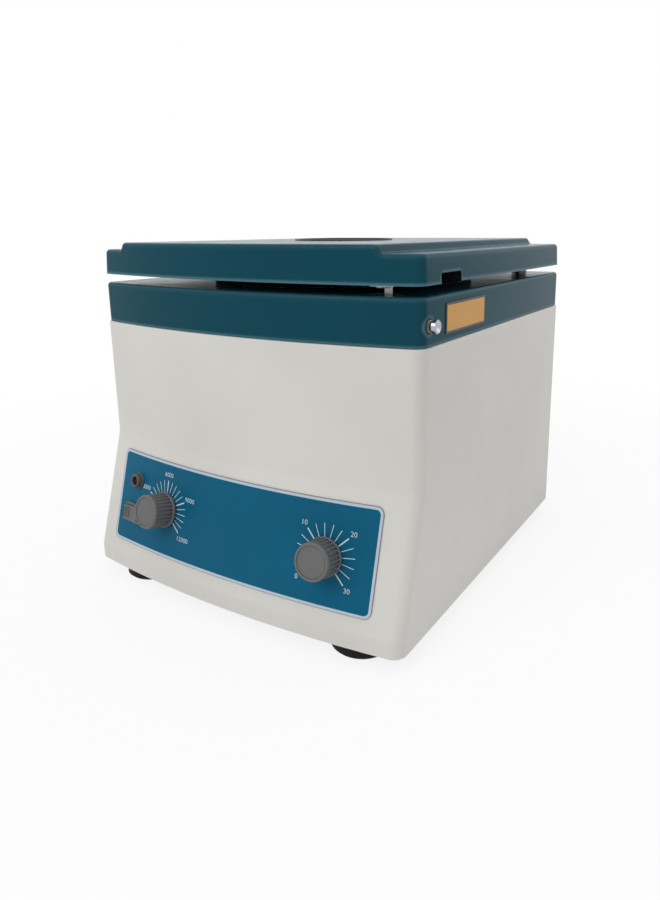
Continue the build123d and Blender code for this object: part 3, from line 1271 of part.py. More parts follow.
def main():
    save("main_housing", main_housing())
    save("base_pan", base_pan())
    save("feet", *[foot(x, y) for x, y in foot_places()])
    save("foot_screws", *[fixed_screw(x, y, 5.5, 10.0) for x, y in foot_places()])
    save("pan_screws", *[fixed_screw(x, y, FOOT_HEIGHT, 12.0) for x, y in PAN_PLACES])
    save("top_frame", top_frame())
    frame_screws = [fixed_screw(x, y, FRAME_BOSS_LOW, 30.0) for x, y in FRAME_PLACES]
    leaf_top = DECK_Z + LEAF_THICKNESS
    frame_screws += [Pos(x, y, leaf_top) * countersunk(5.2) for x, y in HINGE_SCREWS]
    frame_screws.append(Pos(*BRACKET_SCREW, DECK_Z) * countersunk(4.4))
    save("frame_screws", *frame_screws)

    save("lid_shell", lid_shell())
    save("lid_liner", lid_liner())
    save("lid_seal", lid_seal())
    save("window_ring", window_ring())
    save("window_pane", window_pane())
    upside_down = Rot(180, 0, 0)
    liner_screw = upside_down * screw(9.0, 3.0, SMALL_SCREW, 1.4)
    lid_screws = [Pos(x, y, LID_Z) * liner_screw for x, y in lid_boss_places()]
    leaf_under = LID_Z - LEAF_THICKNESS
    lid_screws += [Pos(x, y, leaf_under) * upside_down * countersunk(11.0) for x, y in HINGE_SCREWS]
    lid_screws.append(Pos(*HOOK_SCREW, LID_Z - 2.0) * liner_screw)
    save("lid_screws", *lid_screws)

    sides = (-HINGE_X, HINGE_X)
    leaf_low = (DECK_Z, DECK_Z + LEAF_THICKNESS)
    leaf_high = (LID_Z - LEAF_THICKNESS, LID_Z)
    save("hinge_base_leaves", *[hinge_leaf(x, *leaf_low, False) for x in sides])
    save("hinge_lid_leaves", *[hinge_leaf(x, *leaf_high, True) for x in sides])
    save("hinge_pins", *[hinge_pin(x) for x in sides])

    save("latch_hook", latch_hook())
    save("latch_rod", latch_rod())
    save("latch_knob", latch_knob())
    save("latch_bush", latch_bush())
    save("latch_bracket", latch_bracket())
    save("latch_spring", latch_spring())

    save("chamber_bowl", chamber_bowl())
    save("bowl_gasket", bowl_gasket())
    save("shaft_boot", shaft_boot())
    save("rotor", rotor())
    save("rotor_cushion_ring", rotor_cushion_ring())
    save("rotor_nut", rotor_nut())
    save("rotor_cover", rotor_cover())
    save("cover_knob", cover_knob())
    save("motor_shaft", motor_shaft())
    save("motor_armature", motor_armature())
    save("motor_fan", motor_fan())
    save("motor_can", motor_can())
    save("motor_bells", motor_bell(CAN_TOP), motor_bell(MOTOR_BOTTOM))
    bearing_lows = (MOTOR_TOP - BEARING_WIDTH, MOTOR_BOTTOM)
    save("motor_bearings", *[bearing(low) for low in bearing_lows])
    save("brush_holders", brush_holder(0), brush_holder(180))
    save("motor_bridge", motor_bridge())
    save("bridge_dampers", *[damper(x, y) for x, y in damper_places()])
    motor_screws = [
        fixed_screw(x, CHAMBER_Y + y, BRIDGE_TOP, 6.0, upward=False) for x, y in motor_screw_places()
    ]
    save("motor_screws", *motor_screws)

    save("control_panel", control_panel())
    save("speed_knob", control_knob(SPEED_X, SPEED_Z))
    save("timer_knob", control_knob(TIMER_X, TIMER_Z))
    save("speed_spindle", spindle(SPEED_X, SPEED_Z, 10.0))
    save("timer_spindle", spindle(TIMER_X, TIMER_Z, 20.0))
    save("speed_potentiometer", speed_potentiometer())
    save("timer_movement", timer_movement())
    save("panel_nuts", panel_nut(SPEED_X, SPEED_Z), panel_nut(TIMER_X, TIMER_Z))
    save("switch_frame", switch_frame())
    save("power_rocker", power_rocker())
    save("indicator_bezel", indicator_bezel())
    save("indicator_lens", indicator_lens())

    save("control_board", control_board())
    save("board_components", *board_components())
    save("board_standoffs", *[board_standoff(x, y) for x, y in board_places()])
    save("power_inlet", power_inlet())
    save("inlet_screws", *[rear_screw(INLET_X + side * INLET_SCREW, INLET_Z) for side in (-1, 1)])
    save("fuse_holder", fuse_holder())
    save("fuse_cap", fuse_cap())
    save("side_plate", side_plate())


main()
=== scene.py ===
"""Looks of the bench centrifuge: finishes, panel printing, rotor numbers, camera and light."""

import json
from functools import partial
from math import cos, pi, radians, sin

import bmesh
import bpy
from mathutils import Matrix, Vector
from mathutils.bvhtree import BVHTree


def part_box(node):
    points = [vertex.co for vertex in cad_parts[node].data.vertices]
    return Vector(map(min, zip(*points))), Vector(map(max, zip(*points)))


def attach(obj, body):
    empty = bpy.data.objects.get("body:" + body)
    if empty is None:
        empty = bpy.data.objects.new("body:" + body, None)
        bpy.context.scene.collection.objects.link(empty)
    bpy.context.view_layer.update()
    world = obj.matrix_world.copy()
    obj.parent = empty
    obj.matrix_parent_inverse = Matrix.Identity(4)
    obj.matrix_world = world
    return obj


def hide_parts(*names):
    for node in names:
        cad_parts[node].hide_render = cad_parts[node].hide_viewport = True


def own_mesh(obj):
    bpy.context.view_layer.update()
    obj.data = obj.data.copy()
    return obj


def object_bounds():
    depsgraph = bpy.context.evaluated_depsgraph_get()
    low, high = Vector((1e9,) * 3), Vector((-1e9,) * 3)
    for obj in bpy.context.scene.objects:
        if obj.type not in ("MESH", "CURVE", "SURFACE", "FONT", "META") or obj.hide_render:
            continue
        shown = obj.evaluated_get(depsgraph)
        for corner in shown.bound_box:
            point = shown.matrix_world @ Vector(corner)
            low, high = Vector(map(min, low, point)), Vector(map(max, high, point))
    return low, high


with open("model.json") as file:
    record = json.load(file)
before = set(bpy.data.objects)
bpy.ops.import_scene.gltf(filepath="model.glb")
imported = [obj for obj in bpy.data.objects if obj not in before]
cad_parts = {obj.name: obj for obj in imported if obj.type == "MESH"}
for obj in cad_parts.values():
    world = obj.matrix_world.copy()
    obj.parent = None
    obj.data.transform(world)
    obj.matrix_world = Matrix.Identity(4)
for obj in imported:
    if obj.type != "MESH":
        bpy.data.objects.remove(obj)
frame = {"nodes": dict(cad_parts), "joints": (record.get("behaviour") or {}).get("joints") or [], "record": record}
CAD_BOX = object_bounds()

MM = 0.001

# Camera: where the photograph was taken from, and its lens

CAMERA_AT = Vector((0.29487, -0.43807, 0.25429))
CAMERA_TURN = radians(30.97)
CAMERA_PITCH = radians(-12.77)
CAMERA_ROLL = radians(0.34)
IMAGE_WIDTH = 660
IMAGE_HEIGHT = 900
FOCAL_PIXELS = 669.6
CENTRE_X = 373.7
CENTRE_Y = 381.4
SENSOR = 36.0

# Light: the surroundings' share, and lamps with places and sizes in metres

SURROUND_LEVEL = 0.45
LAMP_TARGET = (0.0, 0.0, 0.12)
LAMPS = {
    "key": {"place": (-0.35, -1.9, 1.6), "size": (1.6, 1.4), "watts": 19.5},
    "top": {"place": (0.1, 0.3, 2.0), "size": (1.8, 1.8), "watts": 12.0},
    "rear": {"place": (2.0, 2.6, 1.2), "size": (2.4, 1.8), "watts": 10.0},
}

# Floor, in metres: its glow rises from a share near the object to full white further out

FLOOR_SIZE = 6.0
GLOW_SHARE = 0.85
GLOW_START = 0.25
GLOW_FULL = 0.75

# Ink, in millimetres

INK_LIFT = 0.03
INK_THICKNESS = 0.04
DROP_HEIGHT = 30.0
STROKE_STEPS = 4
FONT_SIZE_FOR_HEIGHT = 1.42
NUMBER_THINNING = -0.035

# Control panel, in millimetres in from its outline

PANEL_CORNER = 5.0
BORDER_WIDTH = 1.9
EDGE_LINE = 0.35
LINE_BLEND = 0.12

# Dials: millimetres from a knob's axis, and degrees from the right, with ticks running clockwise

TICK_START = 10.9
TICK_END = 20.3
FINE_LINE = 0.42
BOLD_LINE = 0.78
TICKS_TO_NUMBER = 5
NUMBER_HEIGHT = 3.2
NUMBER_REACH = 24.3
USUAL_DIGITS = 2
EXTRA_DIGIT_REACH = 0.9
DIALS = {
    "timer": {"joint": "timer_knob_turn", "first": 220.3, "step": 17.8,
              "numbers": ("0", "10", "20", "30")},
    "speed": {"joint": "speed_knob_turn", "first": 221.0, "step": 13.04,
              "numbers": ("0", "3000", "6000", "9000", "12000")},
}

# Rotor: numbers between its tube slots, in millimetres

ROTOR_PLACES = 24
ROTOR_NUMBER_REACH = 78.0
ROTOR_NUMBER_HEIGHT = 3.6

# Brass plate: where its dark rim ends, in millimetres in from its outline

RIM_WIDTH = 1.4
RIM_BLEND = 0.1

# Finger notch: how far its painted black shade reaches past the stated opening, in millimetres

NOTCH_GROW = 1.0
NOTCH_BELOW = 5.0
NOTCH_FACE = 0.4
NOTCH_BLEND = 0.3

# Circuit board: how fast its tracks repeat along x and y, in radians to a metre

TRACK_PACE = (1300.0, 700.0)

# Latch spring, with its wire's thickness in millimetres

SPRING_WIRE = 0.9
SPRING_TURNS = 4
STEPS_IN_TURN = 24

# Smooth shading, with the reach of its welds in millimetres

SMOOTH_ANGLE = radians(32.0)
WELD_REACH = 0.002
FACE_WEIGHT = 60

# Noise patterns lie mostly between these values

PATTERN_LOW = 0.3
PATTERN_HIGH = 0.7

# Colours as linear values

HOUSING_WHITE = (0.680, 0.664, 0.628)
TEAL = (0.0056, 0.062, 0.090)
TEAL_EDGE_HIGHLIGHT = (0.085, 0.190, 0.230)
PANEL_BLUE = (0.0045, 0.110, 0.203)
PANEL_BORDER = (0.50, 0.60, 0.68)
PANEL_EDGE_SHADE = (0.27, 0.28, 0.30)
INK_WHITE = (0.60, 0.74, 0.80)
INK_DARK = (0.02, 0.02, 0.02)
KNOB_GREY = (0.142, 0.141, 0.139)
BEZEL_BROWN = (0.085, 0.076, 0.069)
LAMP_RED = (0.014, 0.001, 0.001)
WINDOW_SMOKE = (0.16, 0.17, 0.18)
BLACK = (0.012, 0.012, 0.012)
RUBBER_BLACK = (0.0045, 0.0045, 0.0045)
RUBBER_DUST = (0.02, 0.019, 0.018)
BRASS = (0.52, 0.27, 0.060)
BRASS_RIM = (0.03, 0.025, 0.02)
STEEL = (0.56, 0.55, 0.53)
LINER_STEEL = (0.62, 0.60, 0.56)
CORE_STEEL = (0.30, 0.27, 0.24)
ZINC = (0.42, 0.42, 0.40)
CHROME = (0.44, 0.45, 0.47)
ROTOR_ALUMINIUM = (0.56, 0.57, 0.58)
COVER_ALUMINIUM = (0.58, 0.59, 0.60)
MOTOR_GREY = (0.09, 0.10, 0.11)
PAN_GREY = (0.36, 0.36, 0.35)
BOARD_GREEN = (0.012, 0.11, 0.035)
TRACK_GREEN = (0.05, 0.24, 0.09)
COMPONENT_BLUE = (0.025, 0.05, 0.12)
FLOOR_WHITE = (0.96, 0.96, 0.96)

# Nodes whose finish differs from their slot's

OWN_FINISH = {"latch_bush": "black_plastic", "lid_shell": "teal_lid"}


# Frame lookups

def frame_joint(name):
    return next(joint for joint in frame["joints"] if joint["name"] == name)


def notch_box():
    """Low and high corners of the finger notch, a little larger than its stated opening."""
    openings = frame["record"]["physics"]["openings"]
    low, high = next(row["box_m"] for row in openings if row["name"] == "finger_notch")
    grow = NOTCH_GROW * MM
    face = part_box("lid_shell")[1].x - NOTCH_FACE * MM
    return [low[0] - grow, low[1] - grow, low[2] - NOTCH_BELOW * MM], [face, high[1] + grow, high[2] + grow]


def middle_and_half(node):
    """The middle of a node's box, and its size to each side of that."""
    low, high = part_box(node)
    return (low + high) / 2, (high - low) / 2


def added(name, data):
    """A new object in the scene that holds the given mesh, curve, light or camera."""
    made = bpy.data.objects.new(name, data)
    bpy.context.scene.collection.objects.link(made)
    return made


# Node trees

def scaled(colour, factor):
    return tuple(min(1.0, part * factor) for part in colour)


class Tree:
    """Short calls for building one material's nodes."""

    def __init__(self, name):
        self.material = bpy.data.materials.new(name)
        self.material.use_nodes = True
        self.nodes = self.material.node_tree.nodes
        self.links = self.material.node_tree.links
        self.shader = self.nodes["Principled BSDF"]
        self.output = self.nodes["Material Output"]
        self.place = self.nodes.new("ShaderNodeTexCoord").outputs["Object"]

    def node(self, kind, **settings):
        made = self.nodes.new(kind)
        for key, value in settings.items():
            setattr(made, key, value)
        return made

    def plug(self, socket, value):
        """Links a socket to another, or sets it to a number or a colour."""
        if isinstance(value, bpy.types.NodeSocket):
            self.links.new(value, socket)
        elif isinstance(value, tuple) and len(value) == 3 and socket.type == "RGBA":
            socket.default_value = (*value, 1.0)
        else:
            socket.default_value = value

    def split(self):
        """The object's coordinates, in metres, as three numbers."""
        made = self.node("ShaderNodeSeparateXYZ")
        self.plug(made.inputs[0], self.place)
        return made.outputs

    def stretched(self, scale):
        """The object's coordinates stretched by a factor along each axis."""
        mapping = self.node("ShaderNodeMapping")
        self.plug(mapping.inputs["Vector"], self.place)
        mapping.inputs["Scale"].default_value = scale
        return mapping.outputs["Vector"]

    def noise(self, scale, detail=3.0, rough=0.55, vector=None):
        """A cloudy pattern with scale waves to a metre."""
        made = self.node("ShaderNodeTexNoise")
        self.plug(made.inputs["Vector"], vector or self.place)
        made.inputs["Scale"].default_value = scale
        made.inputs["Detail"].default_value = detail
        made.inputs["Roughness"].default_value = rough
        return made.outputs["Fac"]

    def math(self, operation, first, second=0.0):
        made = self.node("ShaderNodeMath", operation=operation)
        self.plug(made.inputs[0], first)
        self.plug(made.inputs[1], second)
        return made.outputs["Value"]

    def away(self, value, middle):
        """How far a value is from a middle, to either side."""
        return self.math("ABSOLUTE", self.math("SUBTRACT", value, middle))

    def hypotenuse(self, first, second):
        squares = [self.math("POWER", side, 2.0) for side in (first, second)]
        return self.math("SQRT", self.math("ADD", *squares))

    def remap(self, value, low, high, to_low=0.0, to_high=1.0):
        """Takes low to high onto to_low to to_high, and holds the ends beyond."""
        made = self.node("ShaderNodeMapRange")
        numbers = {"Value": value, "From Min": low, "From Max": high, "To Min": to_low, "To Max": to_high}
        for name, number in numbers.items():
            self.plug(made.inputs[name], number)
        return made.outputs["Result"]

    def between(self, pattern, lowest, highest):
        """A number that goes from lowest to highest with a noise pattern."""
        return self.remap(pattern, PATTERN_LOW, PATTERN_HIGH, lowest, highest)

    def mix(self, share, first, second):
        made = self.node("ShaderNodeMix", data_type="RGBA")
        self.plug(made.inputs["Factor"], share)
        self.plug(made.inputs[6], first)
        self.plug(made.inputs[7], second)
        return made.outputs[2]

    def shades(self, pattern, colour, dark, light, low=PATTERN_LOW, high=PATTERN_HIGH):
        """The colour from dark to light times its value, as the pattern goes from low to high."""
        return self.mix(self.remap(pattern, low, high), scaled(colour, dark), scaled(colour, light))

    def stain(self, pattern, under, over, most, low=0.5, high=0.8):
        """A second colour in the patches where the pattern is high, by at most the given share."""
        return self.mix(self.remap(pattern, low, high, 0.0, most), under, over)

    def layer(self, mask, under, over, share):
        """A second colour where the mask is, by the given share."""
        return self.mix(self.math("MULTIPLY", mask, share), under, over)

    def closed_in(self, reach, none, full, inside=False):
        """How much the piece's own walls close in a spot within a reach in millimetres, from 0 to 1."""
        made = self.node("ShaderNodeAmbientOcclusion", inside=inside, only_local=True)
        made.inputs["Distance"].default_value = reach * MM
        return self.remap(made.outputs["AO"], none, full)

    def edges(self, reach=0.8):
        """How near a spot is to an outer edge, from 0 on flat walls to 1 on sharp edges."""
        return self.closed_in(reach, none=0.96, full=0.70, inside=True)

    def hollows(self, reach=1.5):
        """How deep a spot lies in a groove, from 0 on open walls to 1 at the bottom."""
        return self.closed_in(reach, none=0.97, full=0.68)

    def bump(self, height, depth):
        """Relief from a pattern, with its depth in millimetres."""
        made = self.node("ShaderNodeBump")
        made.inputs["Distance"].default_value = depth * MM
        self.plug(made.inputs["Height"], height)
        return made.outputs["Normal"]

    def finish(self, colour, rough, normal=None, metallic=0.0, **constants):
        """Fills in the shader; constants are its other inputs, with an underscore for each space."""
        self.plug(self.shader.inputs["Base Color"], colour)
        self.plug(self.shader.inputs["Roughness"], rough)
        self.plug(self.shader.inputs["Metallic"], metallic)
        if normal:
            self.plug(self.shader.inputs["Normal"], normal)
        for name, value in constants.items():
            self.shader.inputs[name.replace("_", " ")].default_value = value
        return self.material


def seen_directly(node_tree):
    """1 for rays from the camera, reflections and clear pieces, and 0 for rays that gather light."""
    rays = node_tree.nodes.new("ShaderNodeLightPath")
    share = rays.outputs["Is Camera Ray"]
    for kind in ("Is Glossy Ray", "Is Transmission Ray"):
        larger = node_tree.nodes.new("ShaderNodeMath")
        larger.operation = "MAXIMUM"
        node_tree.links.new(share, larger.inputs[0])
        node_tree.links.new(rays.outputs[kind], larger.inputs[1])
        share = larger.outputs[0]
    return share


# Plastics, rubber and print

def moulded(name, colour, rough, grain, depth, edge_wear_and_highlight=0.0, crease_shade=0.0, **constants):
    """Moulded plastic: fine grain, slow shade changes, handling marks, edges lightened as wear and as a painted
    highlight, and painted shade in creases.
    """
    tree = Tree(name)
    cloud = tree.noise(9.0, detail=2.0)
    marks = tree.noise(60.0, detail=5.0, rough=0.65)
    shade = tree.shades(cloud, colour, dark=0.965, light=1.03, low=0.35, high=0.65)
    shade = tree.stain(marks, shade, scaled(colour, 0.82), most=0.05, low=0.55)
    # Wear and painted highlight: a lighter colour along outer edges.
    if edge_wear_and_highlight:
        shade = tree.layer(tree.edges(), shade, scaled(colour, 1.5), edge_wear_and_highlight)
    # Painted shade: a darker colour deep in grooves and creases.
    if crease_shade:
        shade = tree.layer(tree.hollows(), shade, scaled(colour, 0.2), crease_shade)
    roughness = tree.between(marks, rough - 0.04, rough + 0.05)
    relief = tree.bump(tree.noise(grain, detail=2.0, rough=0.5), depth)
    return tree.finish(shade, roughness, relief, **constants)


def rubber(name, grain):
    """Matt black rubber with patches of dust."""
    tree = Tree(name)
    most = 0.35
    dust = tree.remap(tree.noise(120.0, detail=6.0, rough=0.7), 0.55, 0.8, 0.0, most)
    shade = tree.mix(dust, RUBBER_BLACK, RUBBER_DUST)
    roughness = tree.remap(dust, 0.0, most, 0.62, 0.8)
    relief = tree.bump(tree.noise(grain, detail=2.0), 0.06)
    return tree.finish(shade, roughness, relief, Specular_IOR_Level=0.2)


def panel_inset(tree):
    """How far a spot lies in from the panel's outline, with its round corners, in metres."""
    middle, half = middle_and_half("control_panel")
    corner = PANEL_CORNER * MM
    spot = tree.split()
    across = tree.away(spot[0], middle.x)
    upward = tree.away(spot[2], middle.z)
    past_x = tree.math("MAXIMUM", tree.math("SUBTRACT", across, half.x - corner), 0.0)
    past_z = tree.math("MAXIMUM", tree.math("SUBTRACT", upward, half.z - corner), 0.0)
    past_round = tree.math("SUBTRACT", tree.hypotenuse(past_x, past_z), corner)
    past_sides = tree.math("MAXIMUM", tree.math("SUBTRACT", across, half.x),
                           tree.math("SUBTRACT", upward, half.z))
    return tree.math("MULTIPLY", tree.math("MAXIMUM", past_sides, past_round), -1.0)


def further_in(tree, inset, width, blend):
    """0 nearer to an outline than a width in millimetres, and 1 further in."""
    return tree.remap(inset, (width - blend) * MM, (width + blend) * MM)


def panel_print(name):
    """Film: printed blue field and pale border, and a thin grey line just inside the outline as painted shade of
    the recess edge, by distance from the outline.
    """
    tree = Tree(name)
    inset = panel_inset(tree)
    blue = tree.shades(tree.noise(14.0), PANEL_BLUE, dark=0.93, light=1.06)
    shade = tree.mix(further_in(tree, inset, BORDER_WIDTH, LINE_BLEND), PANEL_BORDER, blue)
    # Painted shade: a thin grey line just inside the panel's outline.
    shade = tree.mix(further_in(tree, inset, EDGE_LINE, LINE_BLEND), PANEL_EDGE_SHADE, shade)
    wipe = tree.noise(55.0, detail=5.0, rough=0.65, vector=tree.stretched((1.0, 1.0, 4.0)))
    roughness = tree.between(wipe, 0.30, 0.42)
    relief = tree.bump(tree.noise(1900.0, detail=2.0), 0.01)
    return tree.finish(shade, roughness, relief, Specular_IOR_Level=0.07)


def in_notch(tree):
    """1 inside the finger notch's box and 0 outside it."""
    low, high = notch_box()
    spot = tree.split()
    inside = 1.0
    for axis in range(3):
        middle = (low[axis] + high[axis]) / 2
        half = (high[axis] - low[axis]) / 2
        within = tree.remap(tree.away(spot[axis], middle), half, half + NOTCH_BLEND * MM, 1.0, 0.0)
        inside = tree.math("MULTIPLY", within, inside)
    return inside


def teal_plastic(name, shaded_notch=False):
    """Dark teal moulding with wipe marks, paler edges as a painted highlight, and painted black shade inside the
    lid's finger notch.
    """
    tree = Tree(name)
    shade = tree.shades(tree.noise(7.0, detail=2.0), TEAL, dark=0.94, light=1.06, low=0.35, high=0.65)
    # Painted highlight: a paler teal on rounded outer edges.
    shade = tree.layer(tree.edges(reach=2.6), shade, TEAL_EDGE_HIGHLIGHT, share=0.75)
    # Painted shade: the finger notch's hollow is painted black.
    if shaded_notch:
        shade = tree.mix(in_notch(tree), shade, BLACK)
    roughness = tree.between(tree.noise(38.0, detail=4.0, rough=0.6), 0.17, 0.24)
    relief = tree.bump(tree.noise(900.0, detail=2.0, rough=0.5), 0.004)
    return tree.finish(shade, roughness, relief, Specular_IOR_Level=0.05)


def clear(name, colour, through, rough, index=1.49):
    """Tinted clear plastic with faint wipe marks; through is the share of light that passes."""
    tree = Tree(name)
    wipe = tree.noise(70.0, detail=5.0, rough=0.6)
    shade = tree.stain(wipe, colour, scaled(colour, 1.4), most=0.2, low=0.4)
    roughness = tree.between(wipe, rough, rough + 0.08)
    return tree.finish(shade, roughness, Transmission_Weight=through, IOR=index)


def circuit_board(name):
    """Green circuit board with pale tracks in a regular grid of short runs."""
    tree = Tree(name)
    spot = tree.split()
    waves = [
        tree.math("SINE", tree.math("MULTIPLY", distance, pace))
        for distance, pace in zip(spot, TRACK_PACE)
    ]
    tracks = tree.remap(tree.math("MULTIPLY", *waves), 0.55, 0.62)
    shade = tree.mix(tracks, BOARD_GREEN, TRACK_GREEN)
    roughness = tree.remap(tracks, 0.0, 1.0, 0.35, 0.28)
    return tree.finish(shade, roughness, tree.bump(tracks, 0.03))


# Metals

def brushed(name, colour, rough, along):
    """Sheet or bar with fine lines: along is a large factor on the axes that cross the lines."""
    tree = Tree(name)
    lines = tree.noise(1.0, detail=4.0, rough=0.7, vector=tree.stretched(along))
    shade = tree.shades(lines, colour, dark=0.86, light=1.08)
    shade = tree.stain(tree.noise(35.0, detail=4.0), shade, scaled(colour, 0.6), most=0.12)
    roughness = tree.between(lines, rough - 0.06, rough + 0.08)
    return tree.finish(shade, roughness, tree.bump(lines, 0.01), metallic=1.0)


def spun(name, colour, rough, centre):
    """Turned or spun metal: fine rings about a vertical axis through the centre."""
    rings_to_metre = 1500.0
    tree = Tree(name)
    spot = tree.split()
    east = tree.math("SUBTRACT", spot[0], centre[0])
    north = tree.math("SUBTRACT", spot[1], centre[1])
    join = tree.node("ShaderNodeCombineXYZ")
    for socket, distance in zip(join.inputs, (tree.hypotenuse(east, north), spot[2])):
        tree.plug(socket, tree.math("MULTIPLY", distance, rings_to_metre))
    rings = tree.noise(1.0, detail=3.0, rough=0.7, vector=join.outputs[0])
    shade = tree.shades(rings, colour, dark=0.88, light=1.06)
    shade = tree.stain(tree.noise(30.0, detail=4.0), shade, scaled(colour, 0.65), most=0.10)
    roughness = tree.between(rings, rough - 0.05, rough + 0.08)
    return tree.finish(shade, roughness, tree.bump(rings, 0.01), metallic=1.0)


def plated(name, colour, rough):
    """Plated metal with faint handling marks, small pits and painted shade in its inner corners."""
    tree = Tree(name)
    marks = tree.noise(140.0, detail=5.0, rough=0.7)
    shade = tree.stain(marks, colour, scaled(colour, 0.6), most=0.3, high=0.75)
    # Painted shade: inner corners darkened by an occlusion mask.
    shade = tree.layer(tree.hollows(), shade, scaled(colour, 0.08), share=0.9)
    roughness = tree.between(marks, rough, rough + 0.14)
    return tree.finish(shade, roughness, tree.bump(marks, 0.02), metallic=1.0)


def brass_plate(name):
    """Bare brushed brass with a thin dark printed rim."""
    tree = Tree(name)
    middle, half = middle_and_half("side_plate")
    spot = tree.split()
    inset = tree.math("MINIMUM", tree.math("SUBTRACT", half.y, tree.away(spot[1], middle.y)),
                      tree.math("SUBTRACT", half.z, tree.away(spot[2], middle.z)))
    bare = further_in(tree, inset, RIM_WIDTH, RIM_BLEND)
    lines = tree.noise(1.0, detail=4.0, rough=0.7, vector=tree.stretched((60.0, 60.0, 2600.0)))
    shade = tree.shades(lines, BRASS, dark=0.88, light=1.08)
    shade = tree.stain(tree.noise(90.0, detail=5.0, rough=0.65), shade, scaled(BRASS, 0.55), most=0.25)
    shade = tree.mix(bare, BRASS_RIM, shade)
    roughness = tree.between(lines, 0.38, 0.5)
    metallic = tree.math("MULTIPLY", bare, 0.65)
    return tree.finish(shade, roughness, tree.bump(lines, 0.01), metallic)


# Finishes of the CAD nodes

def make_materials():
    """Every finish by its name: grains are in waves to a metre, and depths in millimetres."""
    shaft = frame_joint("rotor_spin")["pos_m"]
    makers = {
        "housing_white": partial(moulded, colour=HOUSING_WHITE, rough=0.42, grain=1500.0, depth=0.012),
        "teal_plastic": teal_plastic,
        "teal_lid": partial(teal_plastic, shaded_notch=True),
        "panel_blue": panel_print,
        "knob_grey": partial(moulded, colour=KNOB_GREY, rough=0.50, grain=2200.0, depth=0.02, edge_wear_and_highlight=0.5,
                             crease_shade=0.85, Specular_IOR_Level=0.3),
        "switch_grey": partial(moulded, colour=KNOB_GREY, rough=0.48, grain=2200.0, depth=0.02, edge_wear_and_highlight=0.5,
                               Specular_IOR_Level=0.3),
        "lamp_bezel": partial(moulded, colour=BEZEL_BROWN, rough=0.42, grain=2200.0, depth=0.01, edge_wear_and_highlight=0.4,
                              Specular_IOR_Level=0.4),
        "lamp_red": partial(clear, colour=LAMP_RED, through=0.1, rough=0.12, index=1.2),
        "foot_rubber": partial(rubber, grain=1400.0),
        "seal_rubber": partial(rubber, grain=1800.0),
        "window_frame": partial(moulded, colour=BLACK, rough=0.40, grain=1500.0, depth=0.01, edge_wear_and_highlight=0.2),
        "window_smoke": partial(clear, colour=WINDOW_SMOKE, through=0.92, rough=0.03),
        "liner_steel": partial(brushed, colour=LINER_STEEL, rough=0.42, along=(40.0, 2600.0, 40.0)),
        "bowl_steel": partial(spun, colour=STEEL, rough=0.28, centre=shaft),
        "hinge_black": partial(moulded, colour=BLACK, rough=0.42, grain=1800.0, depth=0.02, edge_wear_and_highlight=0.3),
        "steel": partial(plated, colour=STEEL, rough=0.22),
        "zinc": partial(plated, colour=ZINC, rough=0.26),
        "chrome": partial(plated, colour=CHROME, rough=0.12),
        "brass_sheet": brass_plate,
        "rotor_aluminium": partial(spun, colour=ROTOR_ALUMINIUM, rough=0.32, centre=shaft),
        "cover_aluminium": partial(spun, colour=COVER_ALUMINIUM, rough=0.30, centre=shaft),
        "cover_knob_black": partial(moulded, colour=BLACK, rough=0.35, grain=2200.0, depth=0.02, edge_wear_and_highlight=0.2),
        "motor_steel": partial(moulded, colour=MOTOR_GREY, rough=0.4, grain=900.0, depth=0.03, edge_wear_and_highlight=0.3),
        "core_steel": partial(brushed, colour=CORE_STEEL, rough=0.5, along=(40.0, 40.0, 3000.0)),
        "black_plastic": partial(moulded, colour=BLACK, rough=0.45, grain=2000.0, depth=0.02, edge_wear_and_highlight=0.25),
        "board_green": circuit_board,
        "component_blue": partial(moulded, colour=COMPONENT_BLUE, rough=0.4, grain=900.0, depth=0.01,
                                  edge_wear_and_highlight=0.3),
        "pan_paint": partial(moulded, colour=PAN_GREY, rough=0.5, grain=700.0, depth=0.05, edge_wear_and_highlight=0.3),
    }
    return {name: make(name) for name, make in makers.items()}


def dress_nodes(materials):
    """Gives each CAD node its slot's material and smooth shading that keeps its sharp edges."""
    for row in frame["record"]["subparts"]:
        node = frame["nodes"][row["node"]]
        finish = OWN_FINISH.get(row["node"], row["material_slot"])
        node.data.materials.clear()
        node.data.materials.append(materials[finish])
        smooth(node)


def smooth(piece):
    """Smooth shading over tangent faces: seams are welded, then split only at sharp edges."""
    for polygon in piece.data.polygons:
        polygon.use_smooth = True
    weld = piece.modifiers.new("weld", "WELD")
    weld.merge_threshold = WELD_REACH * MM
    split = piece.modifiers.new("split", "EDGE_SPLIT")
    split.split_angle = SMOOTH_ANGLE
    split.use_edge_sharp = False
    weighted = piece.modifiers.new("weighted", "WEIGHTED_NORMAL")
    weighted.weight = FACE_WEIGHT
    weighted.keep_sharp = True


# The latch's spring

def coil_mesh(start, length, radius, wire):
    """A wire of a given radius, wound round a line that runs along x from its start."""
    steps = STEPS_IN_TURN * SPRING_TURNS
    curve = bpy.data.curves.new("coil", "CURVE")
    curve.dimensions = "3D"
    curve.bevel_depth = wire
    curve.bevel_resolution = 3
    curve.use_fill_caps = True
    path = curve.splines.new("POLY")
    path.points.add(steps)
    for i, point in enumerate(path.points):
        angle = 2 * pi * i / STEPS_IN_TURN
        along = start + Vector((length * i / steps, radius * cos(angle), radius * sin(angle)))
        point.co = (*along, 1.0)
    holder = added("coil", curve)
    mesh = bpy.data.meshes.new_from_object(holder)
    bpy.data.objects.remove(holder)
    return mesh


